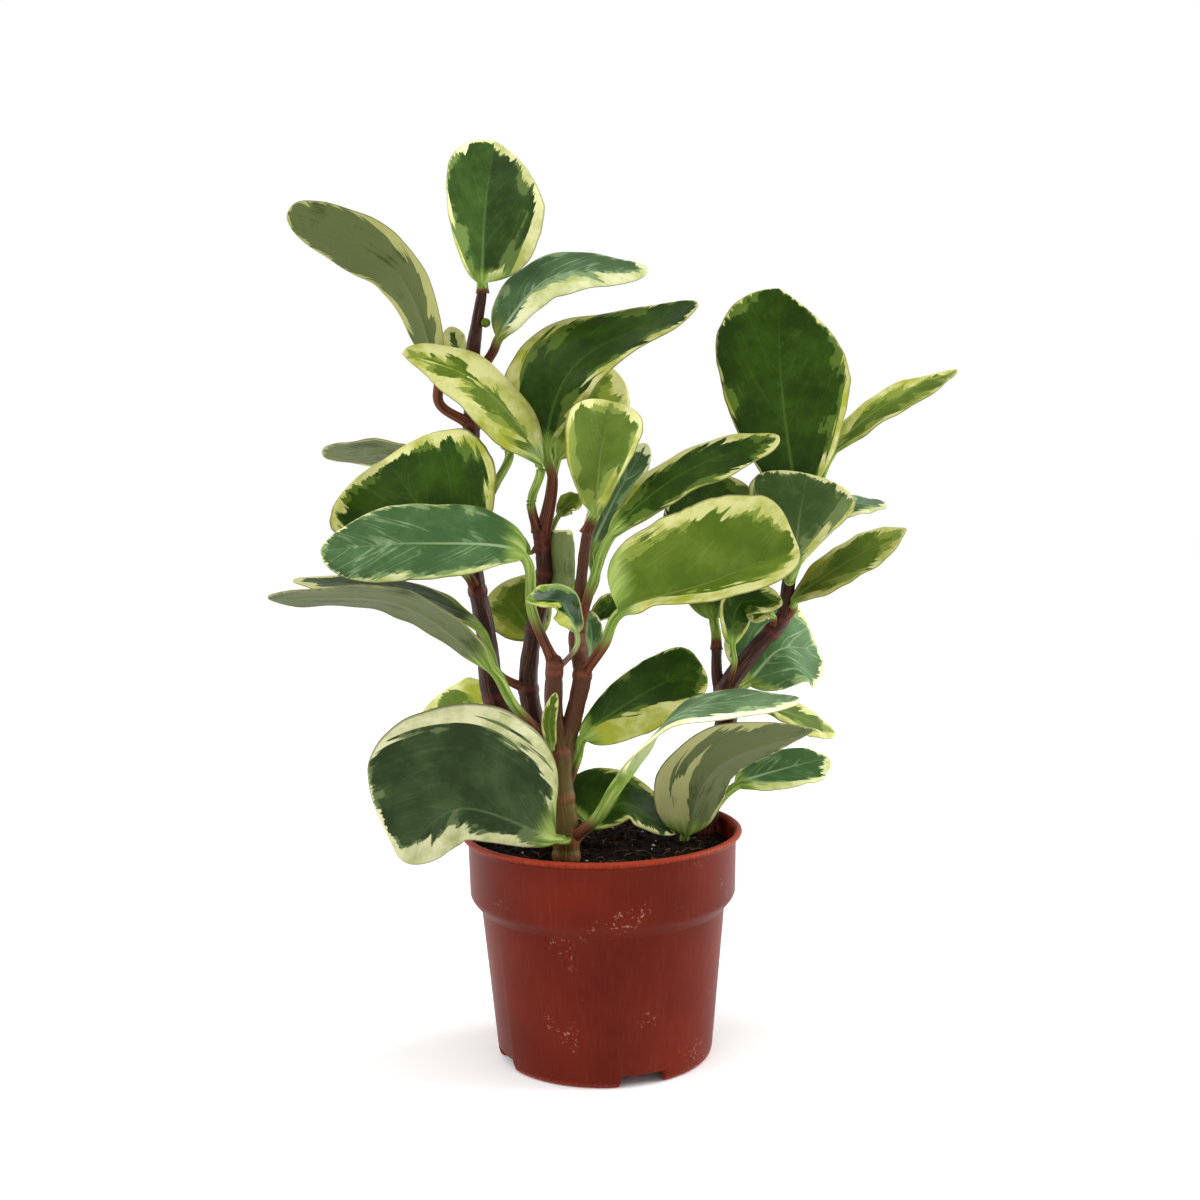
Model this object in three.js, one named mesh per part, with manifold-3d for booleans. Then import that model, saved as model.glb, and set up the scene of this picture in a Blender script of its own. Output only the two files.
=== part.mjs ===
// Potted peperomia: a variegated plant in a round nursery pot.
// Millimetres, +Z up. The plant is laid out about the pot's axis, with the floor at z = 0.
// It leans to one side, so FOOTPRINT then moves it until the origin is under its middle.
import * as THREE from 'three';
import { mergeVertices } from 'three/addons/utils/BufferGeometryUtils.js';
import Module from 'manifold-3d';

const wasm = await Module();
wasm.setup();

// ---- Driving dimensions -----------------------------------------------------

const GAP = 0.3; // clearance where one solid is cut by its neighbour
const FOOTPRINT = [-14, 10, 0]; // where the pot axis stands in the part's own frame

const POT = {
  rimRadius: 60, // 12 cm across the rolled lip
  height: 99,
  wall: 1.2,
  lipHeight: 2.8,
  collarRadius: 57.4, // the straight band below the lip
  collarFoot: 72, // height of the band's lower edge
  shoulderFoot: 65.5, // where the sloped shoulder meets the body
  shoulderRadius: 52.2,
  baseRadius: 46.3,
  footRadius: 44, // rounded bottom edge
  floor: 5, // the floor is raised on the skirt
  segments: 40,
};
const OPENINGS = 4; // notches in the skirt, and as many round holes in the floor
const OPENING_TURN = -70; // where the first of them stands, in degrees about the axis
const NOTCH = { width: 19, height: 4.6 };
const DRAIN = { radius: 4.5, at: 30 };

const SOIL = { level: 91, dome: 2, roughness: 0.7, rings: 5, segments: 24 };

const LEAF = {
  thickness: 0.9,
  rib: 1.1, // how far the midrib stands out of the underside
  petiole: 2.2, // radius of a leaf stalk
  stalkSteps: 3,
  bladeSteps: 7,
};
const YOUNG_LEAF = { ...LEAF, thickness: 0.8, rib: 0.3, petiole: 1.2, stalkSteps: 2, bladeSteps: 6 };

const STEM_SIDES = 9;
const STEM_STEP = 15; // length of one straight piece of a stem

// ---- The plant's form ---------------------------------------------------------
// A branch is a list of [x, y, z, radius] from its root to its tip.

const BRANCHES = {
  front: [
    [-15, -25, 64, 5.6], [-15, -25, 87, 5.5], [-15, -25, 103, 5.6], [-17, -24, 125, 5.2],
    [-17, -24, 135, 5.4], [-19, -24, 151, 3.9], [-19, -24, 163, 3.8], [-18, -23, 178, 3.2],
  ],
  frontFork: [
    [-16, -24, 134, 4.2], [-12, -23, 148, 3.8], [-9, -22, 159, 3.7], [-7, -21, 169, 3.9],
    [-9, -18, 183, 3.2], [-7, -15, 206, 2.4], [-4, -12, 228, 2.2],
  ],
  middle: [
    [-23, -6, 64, 4.2], [-24, -7, 94, 4.2], [-26, -8, 139, 4.2], [-30, -8, 161, 4.2],
    [-28, -7, 182, 3.6], [-23, -6, 203, 3.4], [-23, -5, 222, 3.2], [-25, -5, 229, 2.2],
  ],
  tall: [
    [-28, 10, 64, 5.4], [-28, 10, 87, 5.4], [-35, 10, 134, 5.6], [-46, 10, 158, 5.4],
    [-48, 10, 180, 4.2], [-53, 10, 214, 3.6], [-52, 8, 272, 3.4], [-51, 6, 299, 3.2],
    [-46, 5, 328, 1.9],
  ],
  right: [
    [39, 16, 64, 4.2], [45, 18, 90, 4.4], [50, 17, 124, 4.6], [55, 15, 144, 4.8],
    [55, 14, 156, 4.4], [67, 13, 173, 3.8], [79, 12, 187, 3.4], [82, 12, 203, 2.8],
    [86, 12, 217, 2.6], [88, 12, 228, 2.2],
  ],
  rightSide: [[53, 15, 149, 3.2], [51, 17, 162, 2.4], [51, 19, 174, 2.2]],
};

// Each stem that rises from the soil, with the branches that it forks into.
const STEMS = {
  stem_front: { branches: ['front', 'frontFork'], color: 0x6b4a35 },
  stem_middle: { branches: ['middle'], color: 0x4f2c26 },
  stem_tall: { branches: ['tall'], color: 0x3f201f },
  stem_right: { branches: ['right', 'rightSide'], color: 0x43221f },
};

// A leaf starts on a branch at a fraction of its length. Its stalk bends at `bend` and becomes
// the blade at `neck`; the midrib runs on through `mid` to `tip`. `half` is half the blade's
// width, `face` the way its upper side looks. Fold lifts a half at the midrib and cup curls it
// on towards the edge, in degrees: one value, or [right, left] as seen down the blade.
// `side` scales the right and left halves, `rise` and `round` shape their base and tip.

const DARK_GREEN = 0x3c5a22;
const BLUE_GREEN = 0x4f7560;
const OLIVE = 0x6f8440;
const GREY_GREEN = 0x77795c;

const LEAVES = {
  leaf_crown_top: {
    on: ['tall', 1], bend: [-46, 5, 329], neck: [-46, 4, 331], mid: [-44, 4, 361.5],
    tip: [-40, 14, 390], half: 20, side: [1.16, 0.82], face: [0.05, -0.95, 0.3], fold: 4, cup: 6,
    rise: [0.75, 0.9], round: [0.85, 0.35], color: DARK_GREEN,
  },
  leaf_crown_left: {
    on: ['tall', 0.75], bend: [-65, 4, 281], neck: [-65, 0, 293.5], mid: [-80, -4, 336],
    tip: [-124, -8, 360], half: 15.5, side: [1, 0.85], face: [0.35, 0.75, 0.55], fold: 2, cup: 4,
    rise: [1, 1.1], round: [0.5, 0.4], color: GREY_GREEN,
  },
  leaf_crown_right: {
    on: ['tall', 0.83], bend: [-42.5, 4, 302], neck: [-39.5, 2, 308], mid: [-18.5, 2, 331.5],
    tip: [23, 6, 335], half: 17, side: [0.55, 1], face: [0.1, -0.5, 0.85], cup: [-30, 0], rise: [1, 0.7],
    color: BLUE_GREEN,
  },
  leaf_crown_young: {
    on: ['tall', 0.85], bend: [-54, 10, 294], neck: [-56, 13, 298], mid: [-59, 15, 306],
    tip: [-61, 15, 313], half: 4.5, face: [0.2, -0.9, 0.3], fold: 5, cup: 10, young: true,
    color: GREY_GREEN,
  },
  leaf_tall_folded_back: {
    on: ['tall', 0.66], bend: [-42, 0, 248], neck: [-36, -5, 262], mid: [-52, -9, 287],
    tip: [-68, -12, 303], half: 11, face: [0, -0.35, 0.9], fold: 5, color: BLUE_GREEN,
  },
  leaf_tall_broad_left: {
    on: ['tall', 0.58], bend: [-56, 0, 210], neck: [-62, -6, 214], mid: [-75, -2, 239],
    tip: [-89, 8, 258], half: 37, face: [-0.1, -0.85, 0.5], fold: 8, cup: 20, color: DARK_GREEN,
  },
  leaf_tall_back_left: {
    on: ['tall', 0.71], bend: [-59, 22, 258], neck: [-70, 36, 259], mid: [-96, 50, 259],
    tip: [-122, 66, 256], half: 15, face: [0, 0.4, 0.9], cup: 4, color: GREY_GREEN,
  },
  leaf_tall_low_back_left: {
    on: ['tall', 0.36], bend: [-44, 19, 149], neck: [-50, 24, 146], mid: [-63, 34, 147],
    tip: [-79.5, 48, 142], half: 16, face: [-0.1, -0.6, 0.8], cup: 5, color: OLIVE,
  },
  leaf_middle_upper_right: {
    on: ['middle', 0.84], bend: [-18, -8, 249], neck: [-20.5, -8, 261.5], mid: [-9, -10, 294.5],
    tip: [43, -4, 321], half: 25, side: [0.68, 1], face: [-0.1, -0.9, 0.35], faceTip: [-0.2, -0.35, 0.9],
    fold: 2, cup: 5, rise: [1.3, 0.65], round: [0.55, 0.65], color: DARK_GREEN,
  },
  leaf_middle_upper_back: {
    on: ['middle', 0.93], bend: [-20, 10, 240], neck: [-16.5, 14, 257], mid: [-4, 22, 278],
    tip: [7, 34, 295], half: 16, face: [0.35, -0.85, 0.4], fold: 2, cup: 5, rise: 0.9, color: OLIVE,
  },
  leaf_middle_folded: {
    on: ['middle', 1], bend: [-27, -9, 241], neck: [-23, -17, 257], mid: [-48, -22, 290],
    tip: [-77, -26, 302], half: 18, side: [1, 0.72], face: [0, -0.35, 0.9], fold: [30, -25],
    cup: [-45, -10], round: [0.5, 1], color: OLIVE,
  },
  leaf_middle_long_left: {
    on: ['middle', 0.43], bend: [-42, -12, 169], neck: [-49, -15, 188], mid: [-80, -14, 204],
    tip: [-127, -10, 209], half: 15, face: [-0.1, -0.1, 0.98], cup: 5, color: DARK_GREEN,
  },
  leaf_middle_low_left: {
    on: ['middle', 0.6], bend: [-27, 6, 180], neck: [-27.5, 16, 179.5], mid: [-36, 25, 191.5],
    tip: [-43.5, 28, 201], half: 15, face: [0.1, -0.9, 0.4], fold: 5, cup: 12, color: OLIVE,
  },
  leaf_middle_young_right: {
    on: ['middle', 0.76], bend: [-21, 4, 222], neck: [-16, 7, 233], mid: [-11, 6, 238], tip: [-6, 5, 238],
    half: 4.5, face: [0, -0.8, 0.6], fold: 5, cup: 10, young: true, color: OLIVE,
  },
  leaf_middle_young_left: {
    on: ['middle', 0.88], bend: [-27, -2, 219], neck: [-29, 2, 218], mid: [-37, 4, 220],
    tip: [-45, 2, 222], half: 7, face: [0, -0.7, 0.7], fold: 5, cup: 5, young: true, color: BLUE_GREEN,
  },
  leaf_front_blue_left: {
    on: ['front', 0.96], bend: [-27, -26, 196], neck: [-30, -34, 220], mid: [-71, -38, 226],
    tip: [-110.5, -42, 224], half: 19.5, side: [1.05, 0.85], face: [0, -0.68, 0.73], cup: [5, -15],
    rise: [0.6, 0.8], round: [0.65, 0.45], color: BLUE_GREEN,
  },
  leaf_front_long_left: {
    on: ['front', 0.6], bend: [-35, -33, 159], neck: [-43.5, -40, 175.5], mid: [-78, -48, 203.5],
    tip: [-130.5, -52, 207], half: 18, face: [-0.1, 0.33, 0.92], rise: 0.9, color: GREY_GREEN,
  },
  leaf_front_broad_right: {
    on: ['frontFork', 0.5], bend: [2, -34, 183], neck: [9, -46, 198], mid: [44.5, -56, 210.5],
    tip: [78.5, -60, 224.5], half: 31.5, face: [-0.1, -0.87, 0.42], fold: [55, 0], cup: [0, 8],
    rise: [1.5, 0.27], round: [0.35, 0.22], color: OLIVE,
  },
  leaf_front_cupped_top: {
    on: ['frontFork', 1], bend: [-1, -13, 234], neck: [-0.5, -14, 235.5], mid: [2, -18, 260],
    tip: [7, -14, 281], half: 17.5, side: [1, 1.06], face: [0, -1, 0.1], fold: 20, cup: 30,
    rise: [1.4, 1.2], round: 0.5, color: OLIVE,
  },
  leaf_front_narrow_top: {
    on: ['frontFork', 0.75], bend: [-1, 2, 207], neck: [-2, 8, 217], mid: [8, 14, 239],
    tip: [22, 20, 262], half: 8, face: [-0.3, -0.9, 0.3], fold: 5, cup: 12, color: BLUE_GREEN,
  },
  leaf_front_top_right: {
    on: ['frontFork', 0.68], bend: [-2, -20, 208], neck: [6, -22, 227], mid: [35, -20, 251],
    tip: [75.5, -14, 265.5], half: 14, face: [-0.1, -0.45, 0.88], cup: 2, rise: [0.9, 0.8],
    color: DARK_GREEN,
  },
  leaf_front_long_right: {
    on: ['front', 0.26], bend: [-1.5, -32, 112], neck: [8.5, -47, 131], mid: [32.5, -60, 159.5],
    tip: [79, -60, 164], half: 16, face: [0.05, -0.13, 0.99], rise: 0.9, stalk: 3, color: BLUE_GREEN,
  },
  leaf_front_lower_right: {
    on: ['front', 0.38], bend: [-10, -22, 133.5], neck: [-7, -26, 143.5], mid: [16.5, -24, 160],
    tip: [42.5, -18, 172], half: 16, side: [1, 0.8], face: [-0.1, -0.75, 0.6], cup: 5, rise: [0.6, 0.75],
    round: [0.35, 0.25], color: DARK_GREEN,
  },
  leaf_front_low_right: {
    on: ['front', 0.2], bend: [-9, -20, 101.5], neck: [-5, -16, 103.5], mid: [8.5, -8, 111],
    tip: [31.5, 2, 95], half: 22, side: [0.38, 1], face: [0, -0.6, 0.8], cup: 5, rise: [0.9, 0.5],
    round: [0.8, 1], color: DARK_GREEN,
  },
  leaf_front_broad_low_left: {
    on: ['front', 0.27], bend: [-15, -34, 102.5], neck: [-19.5, -40, 104.5], mid: [-58, -49, 119.5],
    tip: [-82, -55, 102], half: 42, side: [1, 0.32], face: [-0.1, -0.85, 0.5], fold: [8, 5], cup: [18, 5],
    rise: [0.78, 0.9], round: [0.8, 0.5], color: DARK_GREEN,
  },
  leaf_front_young_glossy: {
    on: ['front', 0.93], bend: [-9.5, -27, 181], neck: [-9, -30, 188], mid: [-15.5, -35, 201],
    tip: [-29, -38, 202], half: 7, face: [-0.4, -0.9, 0.3], faceTip: [-0.3, -0.5, 0.8], fold: 10, cup: 20,
    young: true, color: DARK_GREEN,
  },
  leaf_front_young_slim: {
    on: ['frontFork', 0.5], bend: [-5, -17, 171], neck: [-4, -16, 174], mid: [-3, -14, 183],
    tip: [-4, -15, 195], half: 4.5, face: [0.3, -0.9, 0.2], fold: 10, cup: 15, young: true,
    color: BLUE_GREEN,
  },
  leaf_front_young_wedge: {
    on: ['frontFork', 0.66], bend: [-3, -9, 190], neck: [-2, -8, 191], mid: [4, -6, 195],
    tip: [11, -4, 199], half: 4.5, face: [0, -0.9, 0.4], fold: 5, cup: 10, young: true, color: DARK_GREEN,
  },
  leaf_front_young_fork: {
    on: ['front', 0.6], bend: [-20, -29, 139], neck: [-20, -30, 141], mid: [-21, -30, 151],
    tip: [-18, -29, 163], half: 2.5, face: [0, -1, 0.1], fold: 10, cup: 10, young: true, color: OLIVE,
  },
  leaf_front_young_rolled: {
    on: ['frontFork', 0.62], bend: [-12, -13, 197], neck: [-14, -11, 202], mid: [-15, -9, 215],
    tip: [-15, -9, 228], half: 9, face: [0, 1, 0.1], fold: 30, cup: 50, rise: 0.3, round: 0.15,
    young: true, color: GREY_GREEN,
  },
  leaf_right_top_broad: {
    on: ['right', 1], bend: [88, 11, 232.5], neck: [86, 9, 236.5], mid: [79, 10, 285], tip: [79, 22, 327],
    half: 26.3, side: [1.07, 1], face: [0.1, -0.95, 0.25], fold: 2, cup: 5, rise: [1.15, 1],
    round: [0.95, 0.5], color: DARK_GREEN,
  },
  leaf_right_top_twisted: {
    on: ['right', 0.93], bend: [95, 22, 242], neck: [103, 25, 258], mid: [125, 30, 276],
    tip: [159, 42, 291], half: 9.5, face: [-0.2, -0.45, 0.85], faceTip: [0, -0.3, 0.9], cup: 5, rise: 0.9,
    round: 0.7, color: OLIVE,
  },
  leaf_right_upper_grey: {
    on: ['right', 0.84], bend: [80, -10, 205.5], neck: [81.5, -14, 211], mid: [84.5, -6, 230.5],
    tip: [89, 3, 249], half: 22, side: [0.95, 1], face: [0.1, -0.8, 0.6], cup: 5, rise: [1.6, 1.3],
    round: [0.5, 0.45], color: GREY_GREEN,
  },
  leaf_right_upper_back: {
    on: ['right', 0.82], bend: [89, 22, 215], neck: [95, 30, 222], mid: [111, 44, 232],
    tip: [130, 64, 232], half: 7.5, face: [0.1, -0.4, 0.9], rise: 1.2, color: BLUE_GREEN,
  },
  leaf_right_inner_upright: {
    on: ['rightSide', 1], bend: [51, 20, 179], neck: [50, 20, 186], mid: [49, 18, 218],
    tip: [51, 10, 249], half: 20, face: [0, -0.9, 0.3], fold: 5, cup: 10, round: 0.35, color: DARK_GREEN,
  },
  leaf_right_outer: {
    on: ['right', 0.66], bend: [83, 10, 191], neck: [84, 8, 195], mid: [105.5, 6, 210.5],
    tip: [131, 4, 225], half: 12.5, face: [-0.1, -0.45, 0.88], cup: 5, rise: 1.1, round: 0.85,
    color: OLIVE,
  },
  leaf_right_lower_blue: {
    on: ['right', 0.44], bend: [60, 20, 155], neck: [65, 24, 157], mid: [80, 34, 169.5],
    tip: [98.5, 48, 167], half: 23, side: [0.9, 1.1], face: [-0.2, -0.85, 0.5], fold: 2, cup: 5,
    rise: 0.6, round: 0.4, color: BLUE_GREEN,
  },
  leaf_right_young_folded: {
    on: ['right', 0.42], bend: [58, 6, 169], neck: [57, 4, 177], mid: [60, 2, 194], tip: [78, 0, 195],
    half: 8, face: [0.2, -0.8, 0.5], fold: 15, cup: 20, young: true, color: DARK_GREEN,
  },
  leaf_right_young_bud: {
    on: ['right', 0.62], bend: [75, 6, 188], neck: [74, 5, 189], mid: [70, 3, 192], tip: [65, 1, 187],
    half: 5, face: [0, -0.8, 0.6], fold: 10, cup: 20, young: true, color: OLIVE,
  },
  leaf_right_low_lime: {
    on: ['right', 0.35], bend: [65, 24, 144], neck: [73, 32, 144], mid: [89, 40, 138],
    tip: [106, 48, 129], half: 9, face: [0.1, -0.5, 0.85], color: OLIVE,
  },
  leaf_right_low_back: {
    on: ['right', 0.12], bend: [51, 26, 102], neck: [61, 34, 109], mid: [84, 44, 114],
    tip: [104, 54, 116], half: 11.5, face: [0, -0.5, 0.85], color: BLUE_GREEN,
  },
  leaf_soil_grey_right: {
    root: [33, 10, 80], bend: [35.5, 8, 87], neck: [36, 4, 95], mid: [48, -2, 124.5],
    tip: [90.5, -6, 141.5], half: 18.5, side: [1.2, 0.8], face: [-0.2, 0.7, 0.7], fold: 5, cup: 5,
    rise: [0.8, 0.6], round: [0.85, 0.8], color: GREY_GREEN,
  },
};

const BUD = { on: ['tall', 0.945], offset: [3.4, -1.6, -1], radius: 2.2 }; // a round bud near the top

// ---- Closed meshes and solids -------------------------------------------------

const radians = THREE.MathUtils.degToRad;
const smooth = (x) => THREE.MathUtils.smoothstep(x, 0, 1);
const vector = (p) => new THREE.Vector3(p[0], p[1], p[2]);

/** Turns a closed three.js geometry into a solid that can be joined and cut. */
function toSolid(geometry) {
  const bare = geometry.clone();
  bare.deleteAttribute('normal');
  bare.deleteAttribute('uv');
  const welded = mergeVertices(bare, 1e-4);
  return new wasm.Manifold(new wasm.Mesh({
    numProp: 3,
    vertProperties: new Float32Array(welded.attributes.position.array),
    triVerts: new Uint32Array(welded.index.array),
  }));
}

/** Turns a solid back into a three.js geometry. */
function toGeometry(solid) {
  const { vertProperties, triVerts } = solid.getMesh();
  const geometry = new THREE.BufferGeometry();
  geometry.setAttribute('position', new THREE.BufferAttribute(new Float32Array(vertProperties), 3));
  geometry.setIndex(new THREE.BufferAttribute(new Uint32Array(triVerts), 1));
  geometry.computeVertexNormals();
  return geometry;
}

/** Keeps the largest body of a solid and drops the scraps that a cut leaves. */
function largest(solid) {
  return solid.decompose().reduce((a, b) => (a.volume() > b.volume() ? a : b));
}

/** Closes rows of ring points into a solid: `rows[i][j]` is point j of ring i. */
function skin(rows) {
  const sides = rows[0].length;
  const last = rows.length - 1;
  const positions = rows.flat().flatMap((p) => [p.x, p.y, p.z]);
  const centre = (row) => row.reduce((sum, p) => sum.add(p), new THREE.Vector3()).divideScalar(sides);
  for (const row of [rows[0], rows[last]]) positions.push(...centre(row).toArray());
  const id = (i, j) => i * sides + (j % sides);
  const [start, end] = [rows.length * sides, rows.length * sides + 1];
  const index = [];
  for (let j = 0; j < sides; j += 1) {
    for (let i = 0; i < last; i += 1) {
      index.push(id(i, j), id(i, j + 1), id(i + 1, j + 1), id(i, j), id(i + 1, j + 1), id(i + 1, j));
    }
    index.push(start, id(0, j + 1), id(0, j), end, id(last, j), id(last, j + 1));
  }
  const geometry = new THREE.BufferGeometry();
  geometry.setAttribute('position', new THREE.Float32BufferAttribute(positions, 3));
  geometry.setIndex(index);
  return geometry;
}

// ---- Stems ----------------------------------------------------------------------

const branchCurve = (points) => new THREE.CatmullRomCurve3(points.map(vector), false, 'centripetal');

function branchPoint(name, at) {
  return branchCurve(BRANCHES[name]).getPoint(at);
}

/** A round stem along a branch, `extra` thicker all round where it serves as a cutter. */
function branchSolid(points, extra = 0) {
  const curve = branchCurve(points);
  const steps = Math.max(2, Math.round(curve.getLength() / STEM_STEP));
  const across = new THREE.Vector3(0, 1, 0.01);
  const rows = [];
  for (let i = 0; i <= steps; i += 1) {
    const t = i / steps;
    const place = t * (points.length - 1);
    const k = Math.min(Math.floor(place), points.length - 2);
    const radius = THREE.MathUtils.lerp(points[k][3], points[k + 1][3], place - k) + extra;
    const centre = curve.getPoint(t);
    const along = curve.getTangent(t);
    const a = new THREE.Vector3().crossVectors(along, across).normalize();
    const b = new THREE.Vector3().crossVectors(along, a);
    rows.push(Array.from({ length: STEM_SIDES }, (_, j) => {
      const turn = (2 * Math.PI * j) / STEM_SIDES;
      const outward = a.clone().multiplyScalar(Math.cos(turn)).addScaledVector(b, Math.sin(turn));
      return outward.multiplyScalar(radius).add(centre);
    }));
  }
  return toSolid(skin(rows));
}

function stemSolid({ branches }, extra = 0) {
  return branches.map((name) => branchSolid(BRANCHES[name], extra)).reduce((a, b) => a.add(b));
}

// ---- Leaves ---------------------------------------------------------------------

const pair = (value, fallback) => (Array.isArray(value) ? value : [value ?? fallback, value ?? fallback]);

/** Half width along the blade, 0 at the neck and 1 at the tip, widest where the powers meet. */
function bladeShape(u, rise, round) {
  const widest = rise / (rise + round);
  return (u / widest) ** rise * ((1 - u) / (1 - widest)) ** round;
}

/** One leaf: a round stalk that flattens into a folded, cupped blade of even thickness. */
function leafSolid(leaf) {
  const size = leaf.young ? YOUNG_LEAF : LEAF;
  const stalk = leaf.stalk ?? size.petiole;
  const start = leaf.root ? vector(leaf.root) : branchPoint(...leaf.on);
  const midrib = new THREE.CatmullRomCurve3(
    [start, ...[leaf.bend, leaf.neck, leaf.mid, leaf.tip].map(vector)], false, 'centripetal');
  const [fold, cup] = [pair(leaf.fold, 0), pair(leaf.cup, 0)];
  const [side, rise, round] = [pair(leaf.side, 1), pair(leaf.rise, 0.75), pair(leaf.round, 0.55)];
  const across = leaf.young ? [-1, 0, 1] : [-1, -0.5, 0, 0.5, 1];
  const face = vector(leaf.face).normalize();
  const faceTip = vector(leaf.faceTip ?? leaf.face).normalize();

  const stations = [];
  for (let i = 0; i < size.stalkSteps; i += 1) stations.push((0.5 * i) / size.stalkSteps);
  for (let i = 0; i <= size.bladeSteps; i += 1) {
    const k = i / size.bladeSteps;
    stations.push(0.5 + 0.5 * (0.35 * k + 0.65 * (1 - (1 - k) ** 2)));
  }
  const rows = stations.map((t) => {
    const u = Math.max(0, (t - 0.5) / 0.5);
    const flat = smooth(u / 0.25);
    const centre = midrib.getPoint(t);
    const along = midrib.getTangent(t);
    const up = face.clone().lerp(faceTip, smooth(u));
    up.addScaledVector(along, -up.dot(along)).normalize();
    const right = new THREE.Vector3().crossVectors(along, up);
    const stem = stalk * Math.sqrt(Math.max(0, 1 - u));

    const top = [];
    const bottom = [];
    for (const v of across) {
      const h = v > 0 ? 0 : 1;
      const reach = Math.abs(v);
      const half = Math.max(0.4, stem + leaf.half * side[h] * bladeShape(u, rise[h], round[h]));
      const lift = radians(fold[h]) * flat;
      const curl = (radians(cup[h]) || 1e-4) * (flat || 1e-4);
      const x = (half * (Math.sin(lift + curl * reach) - Math.sin(lift))) / curl;
      const z = (half * (Math.cos(lift) - Math.cos(lift + curl * reach))) / curl;
      const lean = (lift + curl * reach) * Math.sign(v);
      const normal = up.clone().multiplyScalar(Math.cos(lean)).addScaledVector(right, -Math.sin(lean));
      const point = centre.clone().addScaledVector(right, x * Math.sign(v)).addScaledVector(up, z);
      const roundness = Math.sqrt(Math.max(0.02, 1 - reach * reach));
      const rib = size.rib * Math.max(0, 1 - 2 * reach) * (1 - u);
      const above = THREE.MathUtils.lerp(stem * 0.7 * roundness, size.thickness / 2, flat);
      const below = THREE.MathUtils.lerp(stem * roundness, size.thickness / 2 + rib, flat);
      top.push(point.clone().addScaledVector(normal, above));
      bottom.push(point.clone().addScaledVector(normal, -below));
    }
    return { top, bottom };
  });
  return toSolid(leafSkin(rows));
}

/** Closes a leaf's upper and lower faces, both split along the same diagonals. */
function leafSkin(rows) {
  const wide = rows[0].top.length;
  const long = rows.length;
  const positions = [];
  for (const row of rows) for (const p of [...row.top, ...row.bottom]) positions.push(p.x, p.y, p.z);
  const top = (i, j) => i * 2 * wide + j;
  const bottom = (i, j) => i * 2 * wide + wide + j;
  const index = [];
  const quad = (a, b, c, d) => index.push(a, b, c, a, c, d);
  for (let i = 0; i < long - 1; i += 1) {
    for (let j = 0; j < wide - 1; j += 1) {
      quad(top(i, j), top(i, j + 1), top(i + 1, j + 1), top(i + 1, j));
      index.push(bottom(i, j), bottom(i + 1, j + 1), bottom(i, j + 1));
      index.push(bottom(i, j), bottom(i + 1, j), bottom(i + 1, j + 1));
    }
    quad(top(i, 0), top(i + 1, 0), bottom(i + 1, 0), bottom(i, 0));
    const e = wide - 1;
    quad(top(i, e), bottom(i, e), bottom(i + 1, e), top(i + 1, e));
  }
  for (let j = 0; j < wide - 1; j += 1) {
    quad(top(0, j), bottom(0, j), bottom(0, j + 1), top(0, j + 1));
    const z = long - 1;
    quad(top(z, j), top(z, j + 1), bottom(z, j + 1), bottom(z, j));
  }
  const geometry = new THREE.BufferGeometry();
  geometry.setAttribute('position', new THREE.Float32BufferAttribute(positions, 3));
  geometry.setIndex(index);
  return geometry;
}

// ---- Pot and soil -----------------------------------------------------------------

const lathe = (profile, segments) => new THREE.LatheGeometry(
  profile.map(([r, z]) => new THREE.Vector2(r, z)), segments).rotateX(Math.PI / 2);

/** The pot's inner radius at a height, one wall inside the body, shoulder and collar. */
function potInside(z) {
  const { wall, baseRadius, shoulderRadius, shoulderFoot, collarRadius, collarFoot, height } = POT;
  const steps = [
    [3, baseRadius], [shoulderFoot, shoulderRadius], [collarFoot, collarRadius - 0.5], [height, collarRadius],
  ];
  const k = Math.max(1, steps.findIndex(([top]) => z <= top));
  const [[z0, r0], [z1, r1]] = [steps[k - 1], steps[k]];
  return THREE.MathUtils.mapLinear(z, z0, z1, r0, r1) - wall;
}

/** The thin-walled pot: skirt, tapered body, sloped shoulder, collar and rolled lip. */
function potSolid() {
  const { rimRadius: rim, height, wall, lipHeight, floor } = POT;
  const lip = height - lipHeight;
  const profile = [
    [POT.footRadius, 0], [POT.footRadius + 1.4, 0.8], [POT.baseRadius, 3],
    [POT.shoulderRadius - 0.4, POT.shoulderFoot - 2], [POT.shoulderRadius + 0.6, POT.shoulderFoot + 0.6],
    [POT.collarRadius - 1.3, POT.collarFoot - 1.8], [POT.collarRadius - 0.5, POT.collarFoot],
    [POT.collarRadius, lip - 0.8], [rim - 0.9, lip + 0.2], [rim, lip + 1.1], [rim, height - 0.8],
    [rim - 0.9, height], [POT.collarRadius - wall + 1.6, height], [POT.collarRadius - wall, height - 2],
    [potInside(POT.collarFoot), POT.collarFoot], [potInside(POT.shoulderFoot), POT.shoulderFoot],
    [potInside(floor + wall), floor + wall], [0, floor + wall], [0, floor], [potInside(floor) - 0.4, floor],
    [POT.footRadius - wall, 0], [POT.footRadius, 0],
  ];
  let pot = toSolid(lathe(profile, POT.segments));
  for (let k = 0; k < OPENINGS; k += 1) {
    const turn = radians(OPENING_TURN) + (2 * Math.PI * k) / OPENINGS;
    const notch = new THREE.BoxGeometry(14, NOTCH.width, 2 * NOTCH.height)
      .translate(POT.baseRadius - 1, 0, 0).rotateZ(turn);
    const drain = new THREE.CylinderGeometry(DRAIN.radius, DRAIN.radius, 6, 14)
      .rotateX(Math.PI / 2).translate(DRAIN.at, 0, floor).rotateZ(turn);
    pot = pot.subtract(toSolid(notch)).subtract(toSolid(drain));
  }
  return pot;
}

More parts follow.
